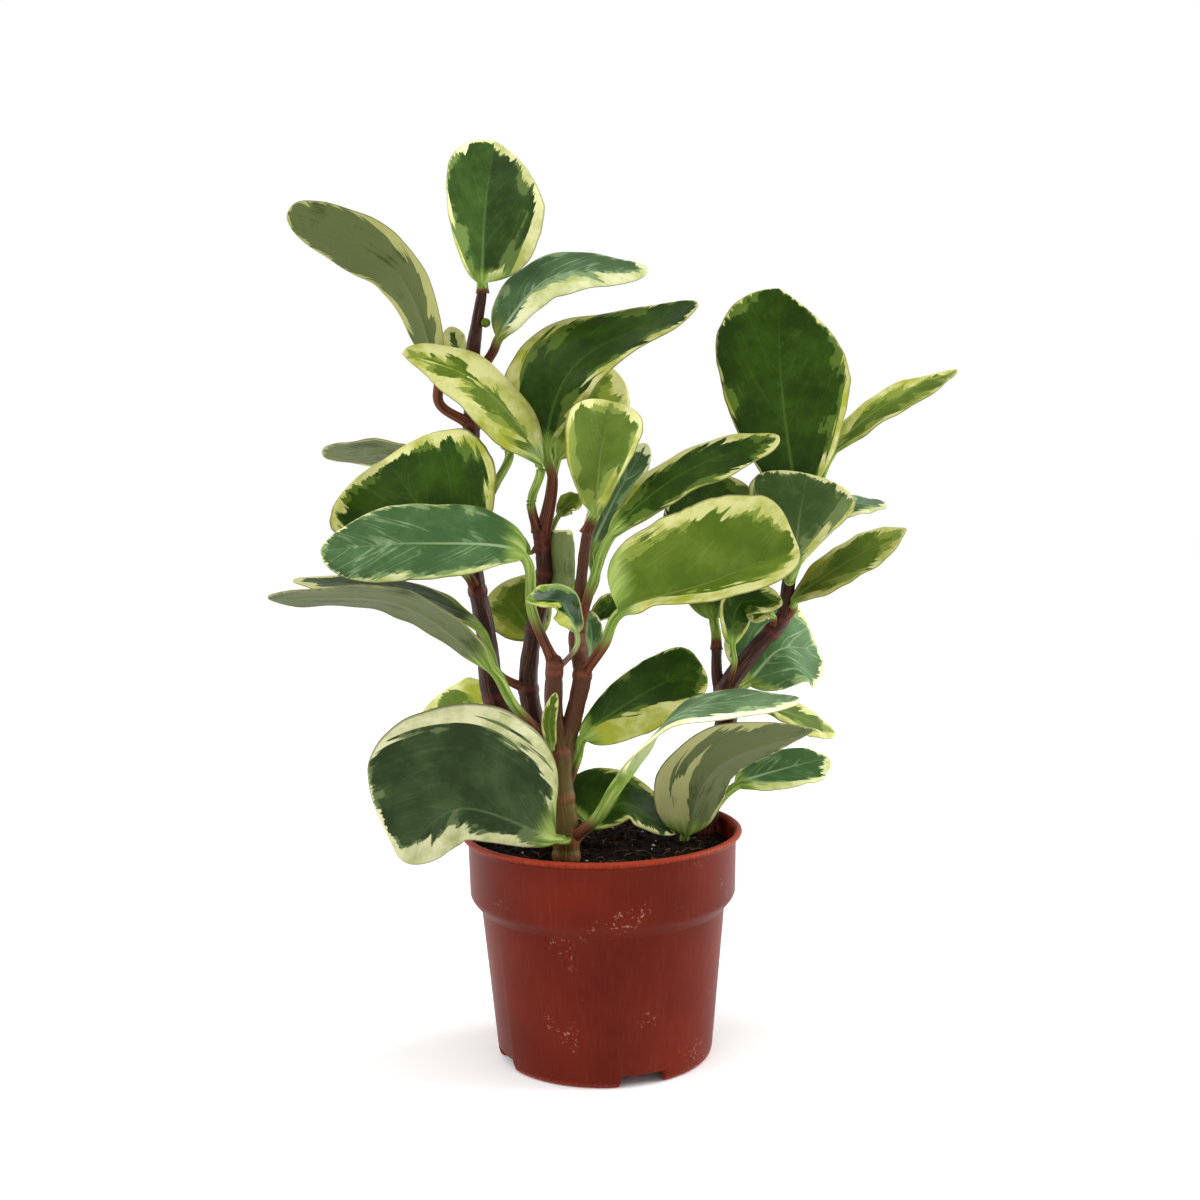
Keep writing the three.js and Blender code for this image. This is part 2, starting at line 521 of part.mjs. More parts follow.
/** Soil height: a low dome with a little unevenness. */
function soilTop(x, y, edge) {
  const r = Math.min(1, Math.hypot(x, y) / edge);
  const bumps = Math.sin(0.21 * x + 1) * Math.cos(0.17 * y) + 0.6 * Math.sin(0.33 * y - 0.12 * x);
  return SOIL.level + SOIL.dome * (1 - r * r) + SOIL.roughness * bumps * (1 - r);
}

/** The soil fills the pot, with a plain hole for each stem. */
function soilSolid(cutters) {
  const edge = potInside(SOIL.level) - GAP;
  const floor = POT.floor + POT.wall + GAP;
  const profile = [
    [0, floor], [potInside(floor) - GAP, floor],
    [potInside(POT.shoulderFoot) - GAP, POT.shoulderFoot],
    [potInside(POT.collarFoot) - GAP, POT.collarFoot], [edge, SOIL.level],
  ];
  for (let i = SOIL.rings - 1; i >= 0; i -= 1) profile.push([(edge * i) / SOIL.rings, SOIL.level]);
  const geometry = lathe(profile, SOIL.segments);
  const { position } = geometry.attributes;
  for (let i = 0; i < position.count; i += 1) {
    if (position.getZ(i) > SOIL.level - 0.01) {
      position.setZ(i, soilTop(position.getX(i), position.getY(i), edge));
    }
  }
  return cutters.reduce((soil, cutter) => soil.subtract(cutter), toSolid(geometry));
}

// ---- Assembly -----------------------------------------------------------------------

const plant = new THREE.Group();
plant.position.set(...FOOTPRINT);

function place(name, solid, color, roughness) {
  const material = new THREE.MeshStandardMaterial({ color, roughness, metalness: 0 });
  const mesh = new THREE.Mesh(toGeometry(solid), material);
  mesh.name = name;
  plant.add(mesh);
}

const stemOf = (branch) => Object.keys(STEMS).find((name) => STEMS[name].branches.includes(branch));
const stemCutters = Object.fromEntries(
  Object.entries(STEMS).map(([name, stem]) => [name, stemSolid(stem, GAP)]));

const rootedLeaf = LEAVES.leaf_soil_grey_right;
const rootHole = branchSolid([rootedLeaf.root, rootedLeaf.bend, rootedLeaf.neck].map(
  (p) => [...p, LEAF.petiole + 0.6]), GAP);

place('pot', potSolid(), 0x9a4230, 0.45);
place('soil', soilSolid([...Object.values(stemCutters), rootHole]), 0x231a14, 0.95);

for (const [name, stem] of Object.entries(STEMS)) {
  let solid = stemSolid(stem);
  if (stem.branches.includes(BUD.on[0])) {
    const centre = branchPoint(...BUD.on).add(vector(BUD.offset));
    const bud = new THREE.SphereGeometry(BUD.radius, 10, 6).translate(...centre.toArray());
    solid = solid.add(toSolid(bud));
  }
  place(name, solid, stem.color, 0.5);
}

for (const [name, leaf] of Object.entries(LEAVES)) {
  const whole = leafSolid(leaf);
  place(name, leaf.on ? largest(whole.subtract(stemCutters[stemOf(leaf.on[0])])) : whole, leaf.color, 0.4);
}

export default plant;
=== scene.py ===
"""Looks of a potted peperomia: a variegated plant with waxy oval leaves in a nursery pot.

The plant is laid out in millimetres about the pot's axis, with the floor at z = 0 and the viewer
at -Y, and every mesh is written in metres in the part's own frame.
"""
from __future__ import annotations

import logging
from dataclasses import dataclass
from enum import Enum

import bpy
import numpy as np
from mathutils import Matrix
from numpy.typing import NDArray


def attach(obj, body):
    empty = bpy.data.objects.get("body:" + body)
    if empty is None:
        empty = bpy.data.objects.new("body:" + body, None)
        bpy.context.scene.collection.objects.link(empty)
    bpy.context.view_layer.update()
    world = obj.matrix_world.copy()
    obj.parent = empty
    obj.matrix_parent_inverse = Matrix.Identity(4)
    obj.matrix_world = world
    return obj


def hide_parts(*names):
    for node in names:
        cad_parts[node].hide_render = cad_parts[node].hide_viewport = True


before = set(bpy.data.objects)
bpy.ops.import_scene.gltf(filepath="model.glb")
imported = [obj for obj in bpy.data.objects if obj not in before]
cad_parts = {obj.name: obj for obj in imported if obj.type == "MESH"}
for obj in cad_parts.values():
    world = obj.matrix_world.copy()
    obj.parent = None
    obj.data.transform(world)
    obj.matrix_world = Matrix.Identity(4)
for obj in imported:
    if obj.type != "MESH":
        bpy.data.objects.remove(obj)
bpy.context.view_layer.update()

log = logging.getLogger("peperomia")
Array = NDArray[np.float64]
Point = tuple[float, float, float]
Pair = tuple[float, float]

MM = 0.001
FOOTPRINT = np.array([-14.0, 10.0, 0.0])  # where the pot's axis stands in the part's frame, mm
LATTICE = 256  # side of the square of random heights that noise in the plane repeats after


# ---- Curves and noise ------------------------------------------------------------------------


def unit(vectors: Array) -> Array:
    """Vectors divided by their length."""
    return vectors / np.maximum(np.linalg.norm(vectors, axis=-1, keepdims=True), 1e-9)


def smooth(x: Array) -> Array:
    """The cubic step 3x^2 - 2x^3 on 0..1, flat outside it."""
    x = np.clip(x, 0.0, 1.0)
    return x * x * (3.0 - 2.0 * x)


def spline(points: Array, t: Array) -> Array:
    """Centripetal Catmull-Rom curve through points.

    Each span is a cubic Hermite whose end tangents come from knot spacings equal to the square
    root of the distance between points. t runs from 0 to 1 in equal shares per span.

    Args:
        points: the points passed through, (n, 3).
        t: curve parameters in 0..1, (m,).

    Returns:
        Points on the curve, (m, 3).
    """
    last = len(points) - 1
    place = np.asarray(t, float) * last
    k = np.minimum(place.astype(int), last - 1)
    w = (place - k)[:, None]
    ends = np.vstack([2 * points[0] - points[1], points, 2 * points[-1] - points[-2]])
    p0, p1, p2, p3 = ends[k], ends[k + 1], ends[k + 2], ends[k + 3]

    def knot(a: Array, b: Array) -> Array:
        """Square root of the distance between a and b."""
        return np.maximum(((a - b) ** 2).sum(1) ** 0.25, 1e-4)[:, None]

    d0, d1, d2 = knot(p0, p1), knot(p1, p2), knot(p2, p3)
    m1 = ((p1 - p0) / d0 - (p2 - p0) / (d0 + d1) + (p2 - p1) / d1) * d1
    m2 = ((p2 - p1) / d1 - (p3 - p1) / (d1 + d2) + (p3 - p2) / d2) * d1
    return p1 + m1 * w + (3 * (p2 - p1) - 2 * m1 - m2) * w**2 + (2 * (p1 - p2) + m1 + m2) * w**3


def tangents(points: Array, t: Array) -> Array:
    """Unit tangents of the spline, from a small step to each side."""
    step = 1e-3
    return unit(spline(points, np.minimum(t + step, 1.0)) - spline(points, np.maximum(t - step, 0.0)))


def waves(x: Array, seed: int, octaves: int = 3) -> Array:
    """Smooth one-dimensional noise: a sum of sines whose pitch doubles and height halves."""
    rng = np.random.default_rng(seed)
    turns = rng.uniform(0.8, 1.25, octaves) * 2.0 ** np.arange(octaves)
    phases = rng.uniform(0.0, 2 * np.pi, octaves)
    heights = 0.5 ** np.arange(octaves)
    return (heights * np.sin(2 * np.pi * x[..., None] * turns + phases)).sum(-1) / heights.sum()


def lattice_noise(points: Array, pitch: float, seed: int) -> Array:
    """Value noise in the plane: random heights on a square lattice, blended by the cubic step.

    Args:
        points: positions, (..., 2), in the same unit as pitch.
        pitch: lattice spacing.
        seed: picks the random heights.

    Returns:
        Noise in -1..1, of the shape of points without its last axis.
    """
    heights = np.random.default_rng(seed).uniform(-1.0, 1.0, (LATTICE, LATTICE))
    cell = np.floor(points / pitch).astype(int)
    f = smooth(points / pitch - cell)
    i, j = cell[..., 0] % LATTICE, cell[..., 1] % LATTICE
    i1, j1 = (i + 1) % LATTICE, (j + 1) % LATTICE
    low = heights[i, j] * (1 - f[..., 0]) + heights[i1, j] * f[..., 0]
    high = heights[i, j1] * (1 - f[..., 0]) + heights[i1, j1] * f[..., 0]
    return low * (1 - f[..., 1]) + high * f[..., 1]


# ---- Meshes ----------------------------------------------------------------------------------


def circle(sides: int) -> Array:
    """Evenly spaced points on a circle of radius 1, (sides, 2)."""
    turn = np.linspace(0, 2 * np.pi, sides, endpoint=False)
    return np.stack([np.cos(turn), np.sin(turn)], -1)


def scatter(rng: np.random.Generator, radius: float, count: int) -> Array:
    """Places drawn evenly over a disc, (count, 2)."""
    r, a = radius * np.sqrt(rng.random(count)), rng.uniform(0, 2 * np.pi, count)
    return np.stack([r * np.cos(a), r * np.sin(a)], -1)


def small_ball() -> tuple[Array, NDArray[np.int64]]:
    """A coarse ball of radius 1: an octahedron with each face split in four.

    Returns:
        Its 18 points, the corners before the edges' middles, and its triangles.
    """
    axes = np.array([[1, 0, 0], [-1, 0, 0], [0, 1, 0], [0, -1, 0], [0, 0, 1], [0, 0, -1]], float)
    x, y, z = (0, 1), (2, 3), (4, 5)
    edges = [(a, b) for one, other in ((x, y), (x, z), (y, z)) for a in one for b in other]
    middle = {edge: len(axes) + k for k, edge in enumerate(edges)}
    faces = []
    for a, b, c in ((0, 2, 4), (2, 1, 4), (1, 3, 4), (3, 0, 4),
                    (2, 0, 5), (1, 2, 5), (3, 1, 5), (0, 3, 5)):
        ab, bc, ca = (middle[min(pair), max(pair)] for pair in ((a, b), (b, c), (c, a)))
        faces += [(a, ab, ca), (ab, b, bc), (ca, bc, c), (ab, bc, ca)]
    return np.vstack([axes, unit(axes[np.array(edges)].sum(1))]), np.array(faces)


def ring_faces(rings: int, sides: int) -> tuple[NDArray[np.int64], NDArray[np.int64]]:
    """Faces that close rings of points into a shell.

    Side quads join point j of ring i to its neighbours, wrapping round, and a fan of triangles
    about an added centre point closes each end. The centres are points rings*sides and the next.

    Args:
        rings: number of rings.
        sides: points in each ring.

    Returns:
        The quads and the triangles, wound so that they face outwards where the rings run
        counter-clockwise as seen from the last ring.
    """
    i, j = np.meshgrid(np.arange(rings - 1), np.arange(sides), indexing="ij")
    k = (j + 1) % sides
    quads = np.stack([i * sides + j, i * sides + k, (i + 1) * sides + k, (i + 1) * sides + j], -1)
    j = np.arange(sides)
    k = (j + 1) % sides
    first = np.stack([np.full(sides, rings * sides), k, j], -1)
    top = (rings - 1) * sides
    last = np.stack([np.full(sides, rings * sides + 1), top + j, top + k], -1)
    return quads.reshape(-1, 4), np.vstack([first, last])


def with_ends(values: Array) -> Array:
    """Ring values (rings, sides, n) as a list, with the mean of each end ring for its centre."""
    return np.vstack([values.reshape(-1, values.shape[-1]), values[0].mean(0), values[-1].mean(0)])


def make_object(name: str, points_mm: Array, faces: list[NDArray[np.int64]],
                attributes: dict[str, Array] | None = None) -> bpy.types.Object:
    """Puts a finished surface into the scene, smooth-shaded, in metres in the part's frame.

    Args:
        name: the piece's name.
        points_mm: vertices about the pot's axis, in millimetres.
        faces: arrays of faces, each of one number of corners.
        attributes: three numbers per vertex under each name, for the material to read.

    Returns:
        The new object, at the origin, unturned and unscaled.
    """
    mesh = bpy.data.meshes.new(name)
    corners = [face for block in faces for face in block.tolist()]
    mesh.from_pydata(((points_mm + FOOTPRINT) * MM).tolist(), [], corners)
    for key, values in (attributes or {}).items():
        layer = mesh.attributes.new(key, "FLOAT_VECTOR", "POINT")
        layer.data.foreach_set("vector", values.astype(np.float32).ravel())
    mesh.polygons.foreach_set("use_smooth", np.ones(len(mesh.polygons), bool))
    mesh.update()
    obj = bpy.data.objects.new(name, mesh)
    bpy.context.scene.collection.objects.link(obj)
    return obj


def finish_piece(obj: bpy.types.Object, material: bpy.types.Material, node: str = "") -> None:
    """Dresses a piece, seats it on the plant's one body, and lets it stand for its CAD node.

    Args:
        obj: the piece.
        material: its finish.
        node: the CAD node that it replaces, if any.
    """
    obj.data.materials.append(material)
    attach(obj, "root")
    if node:
        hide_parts(node)
    log.info("%s: %d faces, %s", obj.name, len(obj.data.polygons), material.name)


def set_frame(obj: bpy.types.Object, place: Array, axes: Array) -> None:
    """Places an object, in mm about the pot's axis, and turns its own axes to the columns of axes."""
    moved = Matrix.Translation(((place + FOOTPRINT) * MM).tolist())
    obj.matrix_world = moved @ Matrix(axes.tolist()).to_4x4()


# ---- Material nodes --------------------------------------------------------------------------


def colour(code: str) -> tuple[float, float, float, float]:
    """An sRGB hex value as linear RGBA."""
    c = np.array([int(code[i:i + 2], 16) for i in (1, 3, 5)]) / 255.0
    linear = np.where(c <= 0.04045, c / 12.92, ((c + 0.055) / 1.055) ** 2.4)
    return (*linear.tolist(), 1.0)


def per_metre(size: float) -> float:
    """The scale of a noise whose features are size mm apart, for coordinates in metres."""
    return 1.0 / (size * MM)


def add_node(tree: bpy.types.NodeTree, kind: str, inputs: dict | None = None, out: int | str = 0,
             stops: tuple = (), **settings: object) -> bpy.types.NodeSocket | None:
    """Adds one node with its settings and links.

    Args:
        tree: the material's node tree.
        kind: node type without its ShaderNode prefix.
        inputs: value, or socket to link from, for each input by name or number.
        out: the output wanted.
        stops: (position, hex) of a colour ramp's stops.
        settings: the node's own properties.

    Returns:
        The wanted output socket, or none from the last node.
    """
    made = tree.nodes.new("ShaderNode" + kind)
    for key, value in settings.items():
        setattr(made, key, value)
    for key, value in (inputs or {}).items():
        if isinstance(value, bpy.types.NodeSocket):
            tree.links.new(value, made.inputs[key])
        else:
            made.inputs[key].default_value = value
    if stops:
        ramp = made.color_ramp
        while len(ramp.elements) < len(stops):
            ramp.elements.new(0.5)
        for element, (position, code) in zip(ramp.elements, stops):
            element.position = position
            element.color = colour(code)
    return made.outputs[out] if len(made.outputs) else None


def new_material(name: str) -> tuple[bpy.types.Material, bpy.types.NodeTree]:
    """An empty node material and its tree."""
    material = bpy.data.materials.new(name)
    material.use_nodes = True
    material.node_tree.nodes.clear()
    return material, material.node_tree


@dataclass(frozen=True)
class LeafFinish:
    """Waxy leaf of a variegated peperomia, grown, with a clear cuticle over mottled tissue.

    The cuticle gives the upper side a soft gloss. The tissue is dark green in the middle, paler
    green in patches next to the border, and cream where it holds no green, in tongues that
    follow the veins in from the edge. The underside is matt and greyer.
    """

    name: str
    slot: str
    dark: str
    mid: str
    pale: str
    vein: str
    cream: str
    lime: str
    under: str
    under_pale: str
    under_cream: str = "#b6b676"
    hair_line: str = "#4a4420"
    stalk: tuple[str, str, str] = ("#4f6624", "#76903c", "#a3b364")
    flush: tuple[str, str] = ("#3c1614", "#74372c")
    vein_strength: float = 0.3
    roughness: float = 0.36
    under_roughness: float = 0.55
    specular: float = 0.10
    coat: float = 0.0
    # Sizes of the markings, mm; the pairs are (across the veins' rows, along them).
    lobe: Pair = (11.0, 18.0)
    rag: Pair = (2.0, 7.0)
    streak: Pair = (1.5, 14.0)
    wander: Pair = (10.0, 34.0)
    clouds: float = 15.38
    mottle: float = 2.5
    sheen: float = 11.1
    pores: float = 0.357

    def material(self) -> bpy.types.Material:
        """Builds the node material from the leaf surface's attributes.

        leaf_vein holds (mm along the veins' rows, mm across, the leaf's own number), leaf_edge
        (mm inside the cream border, 1 on the upper side, 0 stalk to 1 blade), leaf_place
        (fraction across -1..1, fraction along, fraction up the stalk's purple part) and
        leaf_tint (added brightness, taken saturation, mm inside the outline); the brightness and
        saturation are partly the leaf's own tone and partly painted sheen and painted shade.
        """
        material, tree = new_material(self.name)
        rows = add_node(tree, "Attribute", out="Vector", attribute_name="leaf_vein")
        splits = [add_node(tree, "SeparateXYZ", {0: vector}).node.outputs for vector in (
            rows, *(add_node(tree, "Attribute", out="Vector", attribute_name=name)
                    for name in ("leaf_edge", "leaf_place", "leaf_tint")))]
        (_, across_mm, own), (edge, upper, blade), (across, along, up_stalk), (bright, grey, outline) = (
            tuple(split) for split in splits)

        # Cream border: lobes 11 mm wide along the edge with tongues 18 mm long up the veins, deeper
        # where the border is wide, a ragged edge of 2 mm on them, and a thin rim all round.
        lobes = add_node(tree, "Mapping", {0: rows, "Scale": (1 / self.lobe[0], 1 / self.lobe[1], 1.0)})
        lobe = add_node(tree, "TexNoise", {
            "Vector": lobes, "Scale": 1.0, "Detail": 3.0, "Roughness": 0.55})
        ragged = add_node(tree, "Mapping", {0: rows, "Scale": (1 / self.rag[0], 1 / self.rag[1], 1.3)})
        rag = add_node(tree, "TexNoise", {
            "Vector": ragged, "Scale": 1.0, "Detail": 3.0, "Roughness": 0.6})
        width = add_node(tree, "Math", {0: outline, 1: edge}, operation="SUBTRACT")
        swing = add_node(tree, "Math", {0: width, 1: 2.8, 2: 7.0}, operation="MULTIPLY_ADD")
        shift = add_node(tree, "Math", {0: lobe, 1: 0.5}, operation="SUBTRACT")
        shift = add_node(tree, "Math", {0: shift, 1: swing, 2: edge}, operation="MULTIPLY_ADD")
        shift = add_node(tree, "Math", {0: shift, 1: 2.5}, operation="SUBTRACT")
        inside = add_node(tree, "Math", {0: rag, 1: 5.0, 2: shift}, operation="MULTIPLY_ADD")
        creamy = add_node(tree, "MapRange", {0: inside, 1: 0.25, 2: -0.25},
                          interpolation_type="SMOOTHSTEP")
        rim = add_node(tree, "Math", {0: rag, 1: 2.0, 2: outline}, operation="MULTIPLY_ADD")
        rim = add_node(tree, "MapRange", {0: rim, 1: 1.7, 2: 1.2, 4: 0.75},
                       interpolation_type="SMOOTHSTEP")
        creamy = add_node(tree, "Math", {0: creamy, 1: rim}, operation="MAXIMUM")

        # Green: clouds, a mottle on them, faint streaks 1.5 mm wide along the veins, and paler
        # patches up to 5 mm wide beside the border.
        place = add_node(tree, "TexCoord", out="Object")
        cloud = add_node(tree, "TexNoise", {
            "Vector": place, "Scale": per_metre(self.clouds), "Detail": 4.0, "Roughness": 0.55})
        streaks = add_node(tree, "Mapping", {
            0: rows, "Scale": (1 / self.streak[0], 1 / self.streak[1], 3.3)})
        streak = add_node(tree, "TexNoise", {
            "Vector": streaks, "Scale": 1.0, "Detail": 3.0, "Roughness": 0.6})
        mottle = add_node(tree, "TexNoise", {
            "Vector": place, "Scale": per_metre(self.mottle), "Detail": 3.0, "Roughness": 0.6})
        tone = add_node(tree, "Math", {0: streak, 1: 0.15, 2: cloud}, operation="MULTIPLY_ADD")
        tone = add_node(tree, "Math", {0: mottle, 1: 0.2, 2: tone}, operation="MULTIPLY_ADD")
        green = add_node(tree, "ValToRGB", {0: tone}, stops=((0.56, self.dark), (0.96, self.mid)))
        fringe = add_node(tree, "Math", {0: cloud, 1: 30.0, 2: -15.0}, operation="MULTIPLY_ADD")
        fringe = add_node(tree, "Math", {0: rag, 1: 3.0, 2: fringe}, operation="MULTIPLY_ADD")
        fringe = add_node(tree, "Math", {0: inside, 1: fringe}, operation="SUBTRACT")
        fringed = add_node(tree, "MapRange", {0: fringe, 1: 0.8, 2: -0.8, 4: 0.65},
                           interpolation_type="SMOOTHSTEP")
        green = add_node(tree, "Mix", {0: fringed, 6: green, 7: colour(self.pale)}, out=2,
                         data_type="RGBA")

        # Veins: fine pale lines that wander along the rows, where a slow noise crosses its
        # middle value, and the midrib, 2 mm wide at the base of the blade and fading out.
        fan = add_node(tree, "Mapping", {0: rows, "Scale": (1 / self.wander[0], 1 / self.wander[1], 1.9)})
        fan = add_node(tree, "TexNoise", {"Vector": fan, "Scale": 1.0, "Detail": 2.5, "Roughness": 0.5})
        line = add_node(tree, "Math", {0: fan, 1: 0.5}, operation="SUBTRACT")
        line = add_node(tree, "Math", {0: line}, operation="ABSOLUTE")
        line = add_node(tree, "MapRange", {0: line, 1: 0.020, 2: 0.003, 4: self.vein_strength},
                        interpolation_type="SMOOTHSTEP")
        shown = add_node(tree, "MapRange", {0: cloud, 1: 0.36, 2: 0.60})
        line = add_node(tree, "Math", {0: line, 1: shown}, operation="MULTIPLY")
        rib_width = add_node(tree, "MapRange", {0: along, 1: 0.0, 2: 0.9, 3: 1.2, 4: 0.4})
        reach = add_node(tree, "Math", {0: across_mm}, operation="ABSOLUTE")
        rib = add_node(tree, "Math", {0: reach, 1: rib_width}, operation="DIVIDE")
        rib_strength = add_node(tree, "MapRange", {0: along, 1: 0.05, 2: 0.8, 3: 0.7, 4: 0.12})
        rib = add_node(tree, "MapRange", {0: rib, 1: 1.0, 2: 0.3, 4: rib_strength},
                       interpolation_type="SMOOTHSTEP")
        lines = add_node(tree, "Math", {0: line, 1: rib}, operation="MAXIMUM")
        green = add_node(tree, "Mix", {0: lines, 6: green, 7: colour(self.vein)}, out=2,
                         data_type="RGBA")

        # Cream: clouded with yellow-green, more so towards the base.
        yellow = add_node(tree, "Math", {0: along, 1: -0.12, 2: tone}, operation="MULTIPLY_ADD")
        cream = add_node(tree, "ValToRGB", {0: yellow}, stops=((0.53, self.cream), (0.76, self.lime)))
        top = add_node(tree, "Mix", {0: creamy, 6: green, 7: cream}, out=2, data_type="RGBA")

        # Underside: greyer tissue with the same clouds, faint streaks that run with the blade, and
        # the same border.
        grain = add_node(tree, "CombineXYZ", {0: across, 1: along, 2: own})
        grain = add_node(tree, "Mapping", {0: grain, "Scale": (8.0, 1.3, 1.7)})
        fibre = add_node(tree, "TexNoise", {
            "Vector": grain, "Scale": 1.0, "Detail": 4.0, "Roughness": 0.6, "Distortion": 0.4})
        fibre = add_node(tree, "Math", {0: fibre, 1: 0.7, 2: tone}, operation="MULTIPLY_ADD")
        below = add_node(tree, "ValToRGB", {0: fibre}, stops=((0.78, self.under), (1.0, self.under_pale)))
        below = add_node(tree, "Mix", {0: lines, 6: below, 7: colour(self.under_pale)}, out=2,
                         data_type="RGBA")
        bleached = add_node(tree, "Math", {0: creamy, 1: 0.85}, operation="MULTIPLY")
        below = add_node(tree, "Mix", {0: bleached, 6: below, 7: colour(self.under_cream)}, out=2,
                         data_type="RGBA")
        skin = add_node(tree, "Mix", {0: upper, 6: below, 7: top}, out=2, data_type="RGBA")

        # A brown hair line follows the very edge.
        hem = add_node(tree, "Math", {0: across}, operation="ABSOLUTE")
        hem = add_node(tree, "MapRange", {0: hem, 1: 0.968, 2: 0.988, 4: 0.65})
        skin = add_node(tree, "Mix", {0: hem, 6: skin, 7: colour(self.hair_line)}, out=2,
                        data_type="RGBA")
        # Brightness added and saturation taken per leaf and per half: partly the leaf's own tone, partly
        # painted sheen where paler and greyer, painted shade where darker.
        saturation = add_node(tree, "Math", {0: 1.0, 1: grey}, operation="SUBTRACT")
        value = add_node(tree, "Math", {0: 1.0, 1: bright}, operation="ADD")
        skin = add_node(tree, "HueSaturation", {"Saturation": saturation, "Value": value, "Color": skin})

        # Stalk: green with lengthwise streaks, flushed purple where it leaves the stem.
        own_side = add_node(tree, "Math", {0: own, 1: upper}, operation="ADD")
        threads = add_node(tree, "CombineXYZ", {0: across, 1: up_stalk, 2: own_side})
        threads = add_node(tree, "Mapping", {0: threads, "Scale": (3.0, 0.9, 2.3)})
        thread = add_node(tree, "TexNoise", {
            "Vector": threads, "Scale": 1.0, "Detail": 3.0, "Roughness": 0.6})
        stalk = add_node(tree, "ValToRGB", {0: thread}, stops=tuple(zip((0.34, 0.50, 0.66), self.stalk)))
        flush = add_node(tree, "Math", {0: thread, 1: -0.9, 2: up_stalk}, operation="MULTIPLY_ADD")
        flush = add_node(tree, "MapRange", {0: flush, 1: 0.55, 2: 0.05, 4: 0.95},
                         interpolation_type="SMOOTHSTEP")
        purple = add_node(tree, "ValToRGB", {0: thread}, stops=tuple(zip((0.36, 0.62), self.flush)))
        stalk = add_node(tree, "Mix", {0: flush, 6: stalk, 7: purple}, out=2, data_type="RGBA")
        spread = add_node(tree, "Math", {0: streak, 1: 0.6, 2: blade}, operation="MULTIPLY_ADD")
        spread = add_node(tree, "MapRange", {0: spread, 1: 0.35, 2: 1.0}, interpolation_type="SMOOTHSTEP")
        skin = add_node(tree, "Mix", {0: spread, 6: stalk, 7: skin}, out=2, data_type="RGBA")

        # The cuticle: glossy above, matt below, with fine pores.
        pores = add_node(tree, "TexNoise", {
            "Vector": place, "Scale": per_metre(self.pores), "Detail": 1.0})
        sheen = add_node(tree, "TexNoise", {
            "Vector": place, "Scale": per_metre(self.sheen), "Detail": 2.0})
        gloss = add_node(tree, "MapRange", {
            0: sheen, 1: 0.3, 2: 0.7, 3: self.roughness - 0.06, 4: self.roughness + 0.08})
        rough = add_node(tree, "Mix", {0: upper, 2: self.under_roughness, 3: gloss}, out=0)
        relief = add_node(tree, "Math", {0: pores, 1: 0.2, 2: streak}, operation="MULTIPLY_ADD")
        relief = add_node(tree, "Math", {0: line, 1: -0.5, 2: relief}, operation="MULTIPLY_ADD")
        normal = add_node(tree, "Bump", {"Height": relief, "Strength": 0.3, "Distance": 0.5 * MM})
        shader = add_node(tree, "BsdfPrincipled", {
            "Base Color": skin, "Roughness": rough, "Normal": normal, "IOR": 1.45,
            "Specular IOR Level": self.specular, "Coat Weight": self.coat, "Coat Roughness": 0.12})
        add_node(tree, "OutputMaterial", {"Surface": shader})
        return material


@dataclass(frozen=True)
class BarkFinish:
    """Peperomia stem, fleshy and grown: a smooth skin, purple-brown with pale lengthwise streaks.

    The skin has a satin wax, redder at each node, and turns green towards the young end.
    """

    name: str
    dark: str
    streak: str
    ring: str
    green: str
    green_at: Pair

    def material(self) -> bpy.types.Material:
        """Builds the node material.

        stem_skin holds (cos, sin round the stem, mm along), and stem_age (height as a share of
        the tallest stem's, nearness of a node 0..1, the stem's own number).
        """
        material, tree = new_material(self.name)
        skin = add_node(tree, "Attribute", out="Vector", attribute_name="stem_skin")
        ages = add_node(tree, "Attribute", out="Vector", attribute_name="stem_age")
        age, node, _ = tuple(add_node(tree, "SeparateXYZ", {0: ages}).node.outputs)

        # Streaks 0.7 mm wide and 10 mm long on a stem of 4.2 mm radius, and lenticels: pale dots
        # a little under 1 mm apart.
        long_streaks = add_node(tree, "Mapping", {0: skin, "Scale": (4.5, 4.5, 0.08)})
        streak = add_node(tree, "TexNoise", {
            "Vector": long_streaks, "Scale": 1.3, "Detail": 4.0, "Roughness": 0.65})
        short = add_node(tree, "Mapping", {0: skin, "Scale": (3.0, 3.0, 0.9)})
        dots = add_node(tree, "TexNoise", {"Vector": short, "Scale": 1.8, "Detail": 2.0})
        bark = add_node(tree, "ValToRGB", {0: streak}, stops=(
            (0.40, self.dark), (0.52, self.dark), (0.66, self.streak)))

        # Green in the young part: the streaks raise the share of the height that counts, by 0.17
        # on average.
        turn = add_node(tree, "Math", {0: streak, 1: 0.35, 2: age}, operation="MULTIPLY_ADD")
        young = add_node(tree, "MapRange", {
            0: turn, 1: self.green_at[0] + 0.17, 2: self.green_at[1] + 0.17},
            interpolation_type="SMOOTHSTEP")
        bark = add_node(tree, "Mix", {0: young, 6: bark, 7: colour(self.green)}, out=2, data_type="RGBA")

        # Specks of the pale colour, and the redder ring at each node.
        speck = add_node(tree, "MapRange", {0: dots, 1: 0.66, 2: 0.72, 4: 0.5})
        bark = add_node(tree, "Mix", {0: speck, 6: bark, 7: colour(self.streak)}, out=2, data_type="RGBA")
        ringed = add_node(tree, "Math", {0: node, 1: 0.5}, operation="MULTIPLY")
        bark = add_node(tree, "Mix", {0: ringed, 6: bark, 7: colour(self.ring)}, out=2, data_type="RGBA")
        normal = add_node(tree, "Bump", {"Height": streak, "Strength": 0.5, "Distance": 0.5 * MM})
        shader = add_node(tree, "BsdfPrincipled", {
            "Base Color": bark, "Roughness": 0.40, "Normal": normal, "IOR": 1.45,
            "Specular IOR Level": 0.22})
        add_node(tree, "OutputMaterial", {"Surface": shader})
        return material


